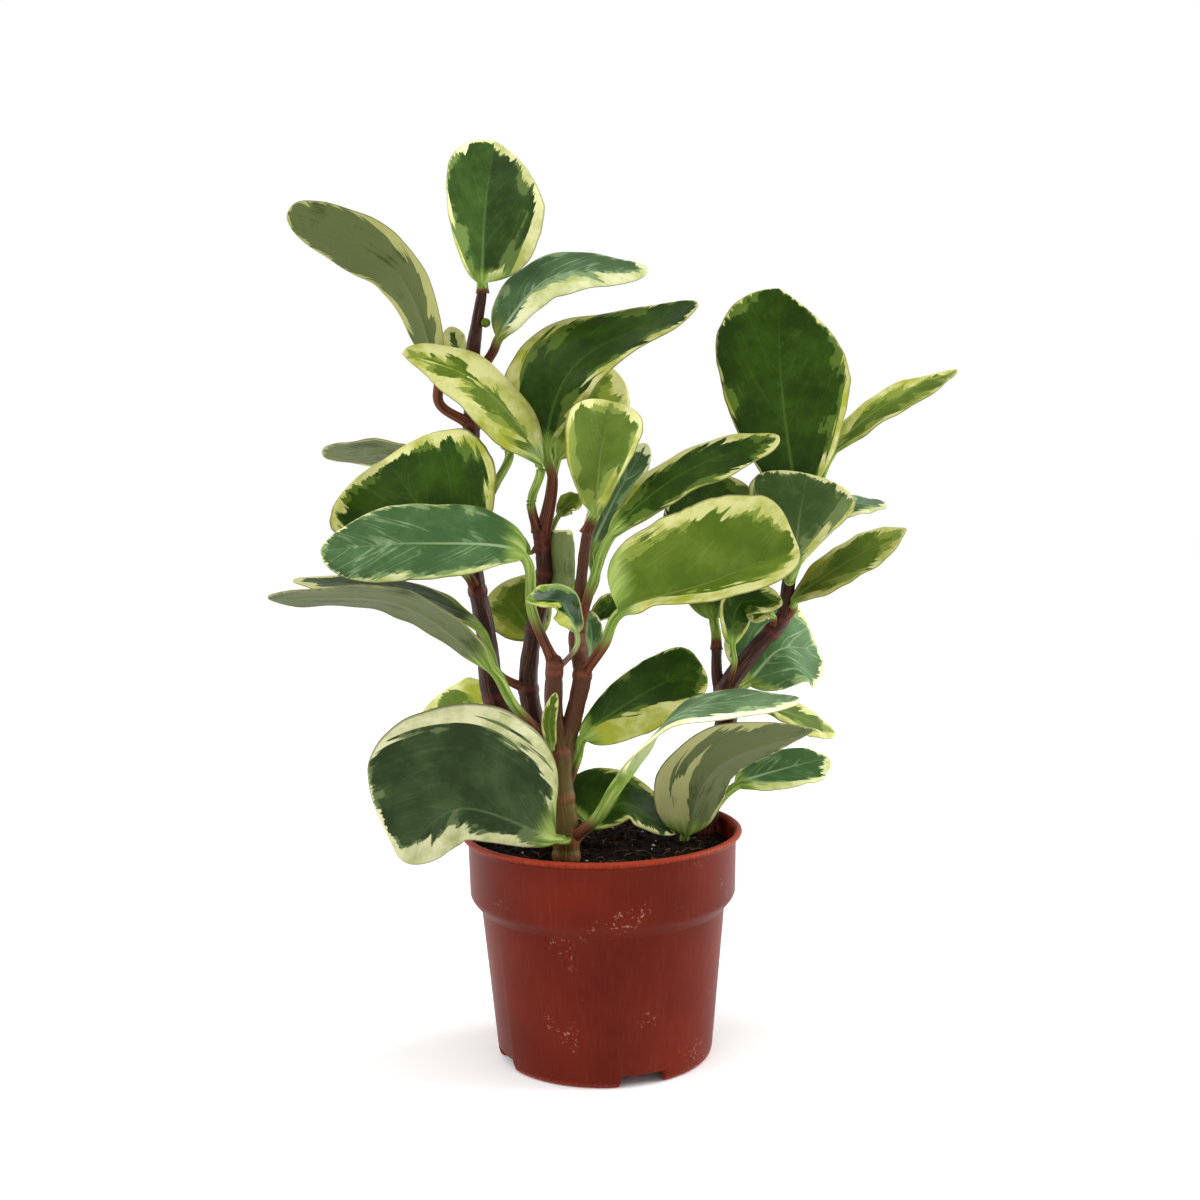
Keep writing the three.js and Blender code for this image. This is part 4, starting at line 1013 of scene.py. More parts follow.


# A leaf's bright and grey paint sheen and shade on it as well as its own tone: one half of crown_top and
# all of front_long_right carry a painted sheen.
LEAVES = (
    Leaf("leaf_crown_top", on=("tall", 1), bend=(-46, 5, 329), neck=(-46, 4, 331),
         mid=(-44, 4, 361.5), tip=(-40, 14, 389.3), half=20, side=(1.16, 0.82),
         face=(0.05, -0.95, 0.3), fold=(4, 4), cup=(6, 6), rise=(0.75, 0.9), round=(0.85, 0.35),
         tone=Tone.DARK, cream=((3, 7, 6, 3, 2), (1, 1, 1, 1, 2)), bright=(0.2, 0.95), grey=0.14,
         flush=0.5),
    Leaf("leaf_crown_left", on=("tall", 0.75), bend=(-65, 4, 281), neck=(-65, 0, 293.5),
         mid=(-80, -4, 336), tip=(-124, -8, 360), half=15.5, side=(1, 0.85),
         face=(0.35, 0.75, 0.55), fold=(2, 2), cup=(4, 4), rise=(1, 1.1), round=(0.5, 0.4),
         tone=Tone.GREY, cream=((1, 2, 1, 1), (1, 4, 2, 1)), bright=(-0.2, -0.15), grey=-0.05,
         flush=1.6),
    Leaf("leaf_crown_right", on=("tall", 0.83), bend=(-42.5, 4, 302), neck=(-39.5, 2, 308),
         mid=(-18.5, 2, 331.5), tip=(23, 6, 335), half=17, side=(0.55, 1), face=(0.1, -0.5, 0.85),
         cup=(-30, 0), rise=(1, 0.7), tone=Tone.BLUE, cream=((3, 4, 5, 6, 2), (0, 0, 0, 2)),
         bright=(0.1, 0.1), grey=0.1, flush=1.2),
    Leaf("leaf_crown_young", on=("tall", 0.85), bend=(-54, 10, 294), neck=(-56, 13, 298),
         mid=(-59, 15, 306), tip=(-61, 15, 313), half=4.5, face=(0.2, -0.9, 0.3), fold=(5, 5),
         cup=(10, 10), size=YOUNG, tone=Tone.GREY),
    Leaf("leaf_tall_folded_back", on=("tall", 0.66), bend=(-42, 0, 248), neck=(-36, -5, 262),
         mid=(-52, -9, 287), tip=(-68, -12, 303), half=11, face=(0, -0.35, 0.9), fold=(5, 5),
         tone=Tone.BLUE, cream=((1, 1, 1), (1, 1, 1))),
    Leaf("leaf_tall_broad_left", on=("tall", 0.58), bend=(-56, 0, 210), neck=(-62, -6, 214),
         mid=(-75, -2, 239), tip=(-89, 8, 258), half=37, face=(-0.1, -0.85, 0.5), fold=(8, 8),
         cup=(20, 20), tone=Tone.DARK, cream=((2, 5, 6, 4), (2, 3, 4, 3)), bright=(0.3, 0.1)),
    Leaf("leaf_tall_back_left", on=("tall", 0.71), bend=(-59, 22, 258), neck=(-70, 36, 259),
         mid=(-96, 50, 259), tip=(-122, 65.8, 256), half=15, face=(0, 0.4, 0.9), cup=(4, 4),
         tone=Tone.GREY, cream=((1, 1, 2), (1, 1, 2))),
    Leaf("leaf_tall_low_back_left", on=("tall", 0.36), bend=(-44, 19, 149), neck=(-50, 24, 146),
         mid=(-63, 34, 147), tip=(-79.5, 48, 142), half=16, face=(-0.1, -0.6, 0.8), cup=(5, 5),
         tone=Tone.OLIVE, cream=((5, 9, 7), (5, 9, 7)), bright=(0.2, 0.2)),
    Leaf("leaf_middle_upper_right", on=("middle", 0.84), bend=(-18, -8, 249),
         neck=(-20.5, -8, 261.5), mid=(-9, -10, 294.5), tip=(43, -4, 321), half=25, side=(0.68, 1),
         face=(-0.1, -0.9, 0.35), face_tip=(-0.2, -0.35, 0.9), fold=(2, 2), cup=(5, 5),
         rise=(1.3, 0.65), round=(0.55, 0.65), tone=Tone.DARK,
         cream=((0, 2, 4, 3, 0), (2, 7, 6, 3, 0)), bright=(-0.12, -0.08), flush=1),
    Leaf("leaf_middle_upper_back", on=("middle", 0.93), bend=(-20, 10, 240), neck=(-16.5, 14, 257),
         mid=(-4, 22, 278), tip=(7, 34, 295), half=16, face=(0.35, -0.85, 0.4), fold=(2, 2),
         cup=(5, 5), rise=(0.9, 0.9), tone=Tone.OLIVE, cream=((4, 6, 7, 5), (2, 3, 5, 3)),
         bright=(0.2, 0.1), flush=0.9),
    Leaf("leaf_middle_folded", on=("middle", 1), bend=(-27, -9, 241), neck=(-23, -17, 257),
         mid=(-48, -22, 290), tip=(-77, -26, 302), half=18, side=(1, 0.72), face=(0, -0.35, 0.9),
         fold=(30, -25), cup=(-45, -10), round=(0.5, 1), tone=Tone.OLIVE,
         cream=((9, 16, 17, 14, 2), (3, 6, 6, 4, 0)), bright=(-0.08, 0)),
    Leaf("leaf_middle_long_left", on=("middle", 0.43), bend=(-42, -12, 169), neck=(-49, -15, 188),
         mid=(-80, -14, 204), tip=(-127, -10, 209), half=15, face=(-0.1, -0.1, 0.98), cup=(5, 5),
         tone=Tone.DARK, cream=((2, 2, 4, 5), (2, 2, 4, 5))),
    Leaf("leaf_middle_low_left", on=("middle", 0.6), bend=(-27, 6, 180), neck=(-27.5, 16, 179.5),
         mid=(-36, 25, 191.5), tip=(-43.5, 28, 201), half=15, face=(0.1, -0.9, 0.4), fold=(5, 5),
         cup=(12, 12), tone=Tone.OLIVE, cream=((0, 2, 3), (1, 4, 6))),
    Leaf("leaf_middle_young_right", on=("middle", 0.76), bend=(-21, 4, 222), neck=(-16, 7, 233),
         mid=(-11, 6, 238), tip=(-6, 5, 238), half=4.5, face=(0, -0.8, 0.6), fold=(5, 5),
         cup=(10, 10), size=YOUNG, tone=Tone.OLIVE, cream=((1, 1, 1), (1, 1, 1))),
    Leaf("leaf_middle_young_left", on=("middle", 0.88), bend=(-27, -2, 219), neck=(-29, 2, 218),
         mid=(-37, 4, 220), tip=(-45, 2, 222), half=7, face=(0, -0.7, 0.7), fold=(5, 5), cup=(5, 5),
         size=YOUNG, tone=Tone.BLUE, cream=((0, 1, 1), (0, 1, 1))),
    Leaf("leaf_front_blue_left", on=("front", 0.96), bend=(-27, -26, 196), neck=(-30, -34, 220),
         mid=(-71, -38, 226), tip=(-110.5, -42, 224), half=19.5, side=(1.05, 0.85),
         face=(0, -0.68, 0.73), cup=(5, -15), rise=(0.6, 0.8), round=(0.65, 0.45), tone=Tone.BLUE,
         cream=((1, 1, 1, 0), (2, 2, 2, 0)), bright=(0.1, 0.1)),
    Leaf("leaf_front_long_left", on=("front", 0.6), bend=(-35, -33, 159), neck=(-43.5, -40, 175.5),
         mid=(-78, -48, 203.5), tip=(-130.5, -52, 207), half=18, face=(-0.1, 0.33, 0.92),
         rise=(0.9, 0.9), tone=Tone.GREY, cream=((0, 0, 0), (0, 0, 0)), bright=(-0.08, -0.08),
         grey=0.05),
    Leaf("leaf_front_broad_right", on=("front_fork", 0.5), bend=(2, -34, 183), neck=(9, -46, 198),
         mid=(44.5, -56, 210.5), tip=(78.5, -60, 224.5), half=31.5, face=(-0.1, -0.87, 0.42),
         fold=(55, 0), cup=(0, 8), rise=(1.5, 0.27), round=(0.35, 0.22), tone=Tone.OLIVE,
         cream=((5, 10, 8, 8, 10), (3, 3, 5, 7, 8)), flush=0.7),
    Leaf("leaf_front_cupped_top", on=("front_fork", 1), bend=(-1, -13, 234),
         neck=(-0.5, -14, 235.5), mid=(2, -18, 260), tip=(7, -14, 281), half=17.5, side=(1, 1.06),
         face=(0, -1, 0.1), fold=(20, 20), cup=(30, 30), rise=(1.4, 1.2), round=(0.5, 0.5),
         tone=Tone.OLIVE, cream=((2, 3, 3, 3), (2, 2, 3, 3)), bright=(0.3, 0.25), grey=0.06),
    Leaf("leaf_front_narrow_top", on=("front_fork", 0.75), bend=(-1, 2, 207), neck=(-2, 8, 217),
         mid=(8, 14, 239), tip=(22, 20, 262), half=8, face=(-0.3, -0.9, 0.3), fold=(5, 5),
         cup=(12, 12), tone=Tone.BLUE, cream=((1, 1, 2), (1, 1, 2)), bright=(0.45, 0.45),
         grey=0.15),
    Leaf("leaf_front_top_right", on=("front_fork", 0.68), bend=(-2, -20, 208), neck=(6, -22, 227),
         mid=(35, -20, 251), tip=(75.5, -14, 265.5), half=14, face=(-0.1, -0.45, 0.88), cup=(2, 2),
         rise=(0.9, 0.8), tone=Tone.DARK, cream=((0, 1, 2), (2, 4, 3))),
    Leaf("leaf_front_long_right", on=("front", 0.26), bend=(-1.5, -32, 112), neck=(8.5, -47, 131),
         mid=(32.5, -60, 159.5), tip=(79, -60, 164), half=16, face=(0.05, -0.13, 0.99),
         rise=(0.9, 0.9), stalk=3, tone=Tone.BLUE, cream=((2, 3, 3, 2), (0, 0, 0, 0)),
         bright=(0.85, 0.8), grey=0.2),
    Leaf("leaf_front_lower_right", on=("front", 0.38), bend=(-10, -22, 133.5),
         neck=(-7, -26, 143.5), mid=(16.5, -24, 160), tip=(42.5, -18, 172), half=16, side=(1, 0.8),
         face=(-0.1, -0.75, 0.6), cup=(5, 5), rise=(0.6, 0.75), round=(0.35, 0.25), tone=Tone.DARK,
         cream=((9, 10, 7, 1), (0, 0, 0, 0))),
    Leaf("leaf_front_low_right", on=("front", 0.2), bend=(-9, -20, 101.5), neck=(-5, -16, 103.5),
         mid=(8.5, -8, 111), tip=(31.5, 2, 95), half=22, side=(0.38, 1), face=(0, -0.6, 0.8),
         cup=(5, 5), rise=(0.9, 0.5), round=(0.8, 1), tone=Tone.DARK, cream=((1, 1, 1), (1, 2, 3))),
    Leaf("leaf_front_broad_low_left", on=("front", 0.27), bend=(-15, -34, 102.5),
         neck=(-19.5, -40, 104.5), mid=(-58, -49, 119.5), tip=(-82, -55, 102), half=42,
         side=(1, 0.32), face=(-0.1, -0.85, 0.5), fold=(8, 5), cup=(18, 5), rise=(0.78, 0.9),
         round=(0.8, 0.5), tone=Tone.DARK, cream=((3, 7, 7, 0, 3), (1, 2, 4, 8, 12)), wave=0.8,
         bright=(0.12, -0.05), grey=0.3),
    Leaf("leaf_front_young_glossy", on=("front", 0.93), bend=(-9.5, -27, 181), neck=(-9, -30, 188),
         mid=(-15.5, -35, 201), tip=(-29, -38, 202), half=7, face=(-0.4, -0.9, 0.3),
         face_tip=(-0.3, -0.5, 0.8), fold=(10, 10), cup=(20, 20), size=YOUNG, tone=Tone.GLOSSY,
         cream=((0, 0, 0), (3, 5, 2))),
    Leaf("leaf_front_young_slim", on=("front_fork", 0.5), bend=(-5, -17, 171), neck=(-4, -16, 174),
         mid=(-3, -14, 183), tip=(-4, -15, 195), half=4.5, face=(0.3, -0.9, 0.2), fold=(10, 10),
         cup=(15, 15), size=YOUNG, tone=Tone.BLUE, cream=((0, 0, 1), (0, 0, 1))),
    Leaf("leaf_front_young_wedge", on=("front_fork", 0.66), bend=(-3, -9, 190), neck=(-2, -8, 191),
         mid=(4, -6, 195), tip=(11, -4, 199), half=4.5, face=(0, -0.9, 0.4), fold=(5, 5),
         cup=(10, 10), size=YOUNG, tone=Tone.DARK, cream=((0, 0, 1), (0, 1, 1))),
    Leaf("leaf_front_young_fork", on=("front", 0.6), bend=(-20, -29, 139), neck=(-20, -30, 141),
         mid=(-21, -30, 151), tip=(-18, -29, 163), half=2.5, face=(0, -1, 0.1), fold=(10, 10),
         cup=(10, 10), size=YOUNG, tone=Tone.OLIVE, cream=((0, 0), (0, 0))),
    Leaf("leaf_front_young_rolled", on=("front_fork", 0.62), bend=(-12, -13, 197),
         neck=(-14, -11, 202), mid=(-15, -9, 215), tip=(-15, -9, 228), half=9, face=(0, 1, 0.1),
         fold=(30, 30), cup=(50, 50), rise=(0.3, 0.3), round=(0.15, 0.15), size=YOUNG,
         tone=Tone.GREY, cream=((0, 0, 1, 3), (0, 0, 1, 3)), wave=2.2, bright=(0.3, 0.3)),
    Leaf("leaf_right_top_broad", on=("right", 1), bend=(88, 11, 232.5), neck=(86, 9, 236.5),
         mid=(79, 10, 285), tip=(79, 22, 327), half=26.3, side=(1.07, 1), face=(0.1, -0.95, 0.25),
         fold=(2, 2), cup=(5, 5), rise=(1.15, 1), round=(0.95, 0.5), tone=Tone.DARK,
         cream=((2, 3, 2, 1, 0), (1, 1, 1, 1, 0))),
    Leaf("leaf_right_top_twisted", on=("right", 0.93), bend=(95, 22, 242), neck=(103, 25, 258),
         mid=(125, 30, 276), tip=(159, 42, 291), half=9.5, face=(-0.2, -0.45, 0.85),
         face_tip=(0, -0.3, 0.9), cup=(5, 5), rise=(0.9, 0.9), round=(0.7, 0.7), tone=Tone.OLIVE,
         cream=((1, 1, 0), (5, 5, 3)), bright=(-0.1, 0.1)),
    Leaf("leaf_right_upper_grey", on=("right", 0.84), bend=(80, -10, 205.5), neck=(81.5, -14, 211),
         mid=(84.5, -6, 230.5), tip=(89, 3, 249), half=22, side=(0.95, 1), face=(0.1, -0.8, 0.6),
         cup=(5, 5), rise=(1.6, 1.3), round=(0.5, 0.45), tone=Tone.GREY,
         cream=((1, 3, 2), (0, 1, 1)), grey=0.1),
    Leaf("leaf_right_upper_back", on=("right", 0.82), bend=(89, 22, 215), neck=(95, 30, 222),
         mid=(111, 44, 232), tip=(130, 64, 232), half=7.5, face=(0.1, -0.4, 0.9), rise=(1.2, 1.2),
         tone=Tone.BLUE, cream=((1, 1, 2), (0, 0, 1))),
    Leaf("leaf_right_inner_upright", on=("right_side", 1), bend=(51, 20, 179), neck=(50, 20, 186),
         mid=(49, 18, 218), tip=(51, 10, 249), half=20, face=(0, -0.9, 0.3), fold=(5, 5),
         cup=(10, 10), round=(0.35, 0.35), tone=Tone.DARK, cream=((1, 1, 1), (1, 1, 1))),
    Leaf("leaf_right_outer", on=("right", 0.66), bend=(83, 10, 191), neck=(84, 8, 195),
         mid=(105.5, 6, 210.5), tip=(131, 4, 225), half=12.5, face=(-0.1, -0.45, 0.88), cup=(5, 5),
         rise=(1.1, 1.1), round=(0.85, 0.85), tone=Tone.OLIVE, cream=((2, 2, 2), (4, 4, 2)),
         bright=(-0.1, 0), flush=0.8),
    Leaf("leaf_right_lower_blue", on=("right", 0.44), bend=(60, 20, 155), neck=(65, 24, 157),
         mid=(80, 34, 169.5), tip=(98.5, 48, 167), half=23, side=(0.9, 1.1),
         face=(-0.2, -0.85, 0.5), fold=(2, 2), cup=(5, 5), rise=(0.6, 0.6), round=(0.4, 0.4),
         tone=Tone.BLUE, cream=((1, 2, 3), (1, 2, 2)), bright=(0.3, 0.3)),
    Leaf("leaf_right_young_folded", on=("right", 0.42), bend=(58, 6, 169), neck=(57, 4, 177),
         mid=(60, 2, 194), tip=(78, 0, 195), half=8, face=(0.2, -0.8, 0.5), fold=(15, 15),
         cup=(20, 20), size=YOUNG, tone=Tone.DARK, cream=((1, 2, 1), (1, 2, 1))),
    Leaf("leaf_right_young_bud", on=("right", 0.62), bend=(75, 6, 188), neck=(74, 5, 189),
         mid=(70, 3, 192), tip=(65, 1, 187), half=5, face=(0, -0.8, 0.6), fold=(10, 10),
         cup=(20, 20), size=YOUNG, tone=Tone.OLIVE, cream=((1, 2), (1, 2))),
    Leaf("leaf_right_low_lime", on=("right", 0.35), bend=(65, 24, 144), neck=(73, 32, 144),
         mid=(89, 40, 138), tip=(106, 48, 129), half=9, face=(0.1, -0.5, 0.85), tone=Tone.OLIVE,
         cream=((4, 4, 3), (4, 4, 3))),
    Leaf("leaf_right_low_back", on=("right", 0.12), bend=(51, 26, 102), neck=(61, 34, 109),
         mid=(84, 44, 114), tip=(104, 54, 116), half=11.5, face=(0, -0.5, 0.85), tone=Tone.BLUE,
         cream=((2, 3, 3), (0, 0, 1)), bright=(0.2, 0.2)),
    Leaf("leaf_soil_grey_right", root=(33, 10, 80), bend=(35.5, 8, 87), neck=(36, 4, 95),
         mid=(48, -2, 124.5), tip=(90.5, -6, 141.5), half=18.5, side=(1.2, 0.8),
         face=(-0.2, 0.7, 0.7), fold=(5, 5), cup=(5, 5), rise=(0.8, 0.6), round=(0.85, 0.8),
         tone=Tone.GREY, cream=((9, 13, 4, 0), (1, 1, 0)), bright=(-0.08, -0.08), grey=0.05),
)


# ---- Pot -------------------------------------------------------------------------------------


def rounded(profile: Array, radii: Array, steps: int = 5) -> Array:
    """A profile with each inner corner rounded.

    Every corner is replaced by a quadratic curve between the points that lie its radius before
    and after it, or a little under half a side where that is shorter.

    Args:
        profile: corner points, (n, 2).
        radii: rounding at each corner, (n,); 0 keeps it sharp.
        steps: points on each rounded corner.

    Returns:
        The rounded profile, (m, 2).
    """
    before, corner, after = profile[:-2], profile[1:-1], profile[2:]
    reach = np.minimum(radii[1:-1], 0.48 * np.minimum(np.linalg.norm(corner - before, axis=1),
                                                      np.linalg.norm(after - corner, axis=1)))[:, None]
    start, end = corner + unit(before - corner) * reach, corner + unit(after - corner) * reach
    q = np.linspace(0, 1, steps)[None, :, None]
    bends = (1 - q) ** 2 * start[:, None] + 2 * q * (1 - q) * corner[:, None] + q**2 * end[:, None]
    return np.vstack([profile[:1], bends.reshape(-1, 2), profile[-1:]])


@dataclass
class Pot:
    """Round nursery pot: rolled lip, straight collar, sloped shoulder, tapered body, notched skirt.

    A notch reaches its height over notch_ramp at each of its ends, and squeezes up what lies
    lower than notch_squeeze. Sizes are in mm, angles in degrees.
    """

    rim_radius: float = 60
    height: float = 99
    wall: float = 1.2
    lip_height: float = 2.8
    collar_radius: float = 57.4
    collar_foot: float = 72
    shoulder_foot: float = 65.5
    shoulder_radius: float = 52.2
    base_radius: float = 46.3
    foot_radius: float = 44
    floor: float = 5
    notch_width: float = 19
    notch_height: float = 4.6
    notches: int = 4
    notch_turn: float = -70
    notch_ramp: float = 1.4
    notch_squeeze: float = 6.0
    drain_radius: float = 4.5
    drain_at: float = 30
    drain_sides: int = 32
    sides: int = 200
    sharp_from: float = 38

    def inside(self, z: Array) -> Array:
        """The pot's inner radius at heights z: one wall inside the body, shoulder and collar."""
        heights = [3, self.shoulder_foot, self.collar_foot, self.height]
        radii = [self.base_radius, self.shoulder_radius, self.collar_radius - 0.5, self.collar_radius]
        return np.interp(z, heights, radii) - self.wall

    def notch_angles(self) -> Array:
        """Where the notches' middles stand round the axis, in radians; the drain holes too."""
        return np.radians(self.notch_turn + np.arange(self.notches) * 360 / self.notches)

    def profile(self) -> Array:
        """The pot's section from the middle of its underside round to the middle of its floor.

        Each corner is its distance from the axis, its height and its rounding, mm.
        """
        lip, rim, wall, top = self.height - self.lip_height, self.rim_radius, self.wall, self.height
        collar, base = self.collar_radius, self.floor + self.wall
        corners = np.array([
            # Underside of the floor, inside of the skirt and its foot.
            [0.5, self.floor, 0], [self.inside(self.floor) - 0.4, self.floor, 0.6],
            [self.foot_radius - wall, 0, 0.25], [self.foot_radius, 0, 0.4],
            # Outside: body, shoulder, collar and rolled lip.
            [self.foot_radius + 1.4, 0.8, 1.0], [self.base_radius, 3.2, 2.0],
            [self.shoulder_radius, self.shoulder_foot, 0.5],
            [collar - 1.3, self.collar_foot - 1.8, 1.6], [collar - 0.5, self.collar_foot, 1.2],
            [collar, lip - 0.8, 1.0], [rim - 0.9, lip + 0.2, 0.6], [rim, lip + 1.1, 0.7],
            [rim, top - 0.8, 0.8], [rim - 0.9, top, 0.8],
            # Inside, down to the floor.
            [collar - wall + 1.6, top, 1.0], [collar - wall, top - 2, 1.0],
            [self.inside(self.collar_foot), self.collar_foot, 1.5],
            [self.inside(self.shoulder_foot), self.shoulder_foot, 1.5],
            [self.inside(base), base, 0.8], [0.5, base, 0]])
        return rounded(corners[:, :2], corners[:, 2])

    def build(self) -> bpy.types.Object:
        """Builds the pot as a surface of revolution with notches and drain holes.

        Every point is (r cos a, r sin a, z). In a notch, heights z under the squeeze height q are
        raised by h (1 - z/q), where h steps from 0 to the notch's height over the ramp.
        """
        section, middles = self.profile(), self.notch_angles()

        # Angles: evenly spaced, with seven more across each end of a notch.
        ramp = np.linspace(-0.03, 0.03, 7)
        end = 0.5 * self.notch_width / self.foot_radius
        fine = middles[:, None] + np.concatenate([ramp - end, ramp + end])[None, :]
        even = np.linspace(0, 2 * np.pi, self.sides, endpoint=False)
        turn = np.unique(np.round(np.concatenate([even, fine.ravel() % (2 * np.pi)]), 6))
        off = np.abs((turn[:, None] - middles[None, :] + np.pi) % (2 * np.pi) - np.pi).min(1)
        inside = 0.5 * (self.notch_width + self.notch_ramp) - off * self.foot_radius
        raised = self.notch_height * smooth(inside / self.notch_ramp)
        r, z = section[:, :1], section[:, 1:]
        squeezed = np.clip(1 - z / self.notch_squeeze, 0, 1) * (r > 0.9 * self.foot_radius)
        z = z + raised[None, :] * squeezed
        rings = np.stack([r * np.cos(turn), r * np.sin(turn), z + 0 * turn], -1)
        obj = make_object("nursery_pot", with_ends(rings), list(ring_faces(*rings.shape[:2])))
        self.drill(obj)
        obj.data.set_sharp_from_angle(angle=np.radians(self.sharp_from))
        finish_piece(obj, PlasticFinish().material(), "pot")
        return obj

    def drill(self, pot: bpy.types.Object) -> None:
        """Cuts the drain holes through the floor with upright cylinders, 2 to 9 mm high up."""
        sides = self.drain_sides
        ring = self.drain_radius * circle(sides)
        for middle in self.notch_angles():
            centre = self.drain_at * np.array([np.cos(middle), np.sin(middle)])
            levels = [np.column_stack([ring + centre, np.full(sides, level)]) for level in (2.0, 9.0)]
            drill = make_object("drill", with_ends(np.stack(levels)), list(ring_faces(2, sides)))
            cut = pot.modifiers.new("drain", "BOOLEAN")
            cut.operation, cut.object, cut.solver = "DIFFERENCE", drill, "EXACT"
            view = bpy.context.evaluated_depsgraph_get()
            cut_mesh = bpy.data.meshes.new_from_object(pot.evaluated_get(view))
            pot.modifiers.remove(cut)
            pot.data = cut_mesh
            bpy.data.objects.remove(drill)


# ---- Soil ------------------------------------------------------------------------------------


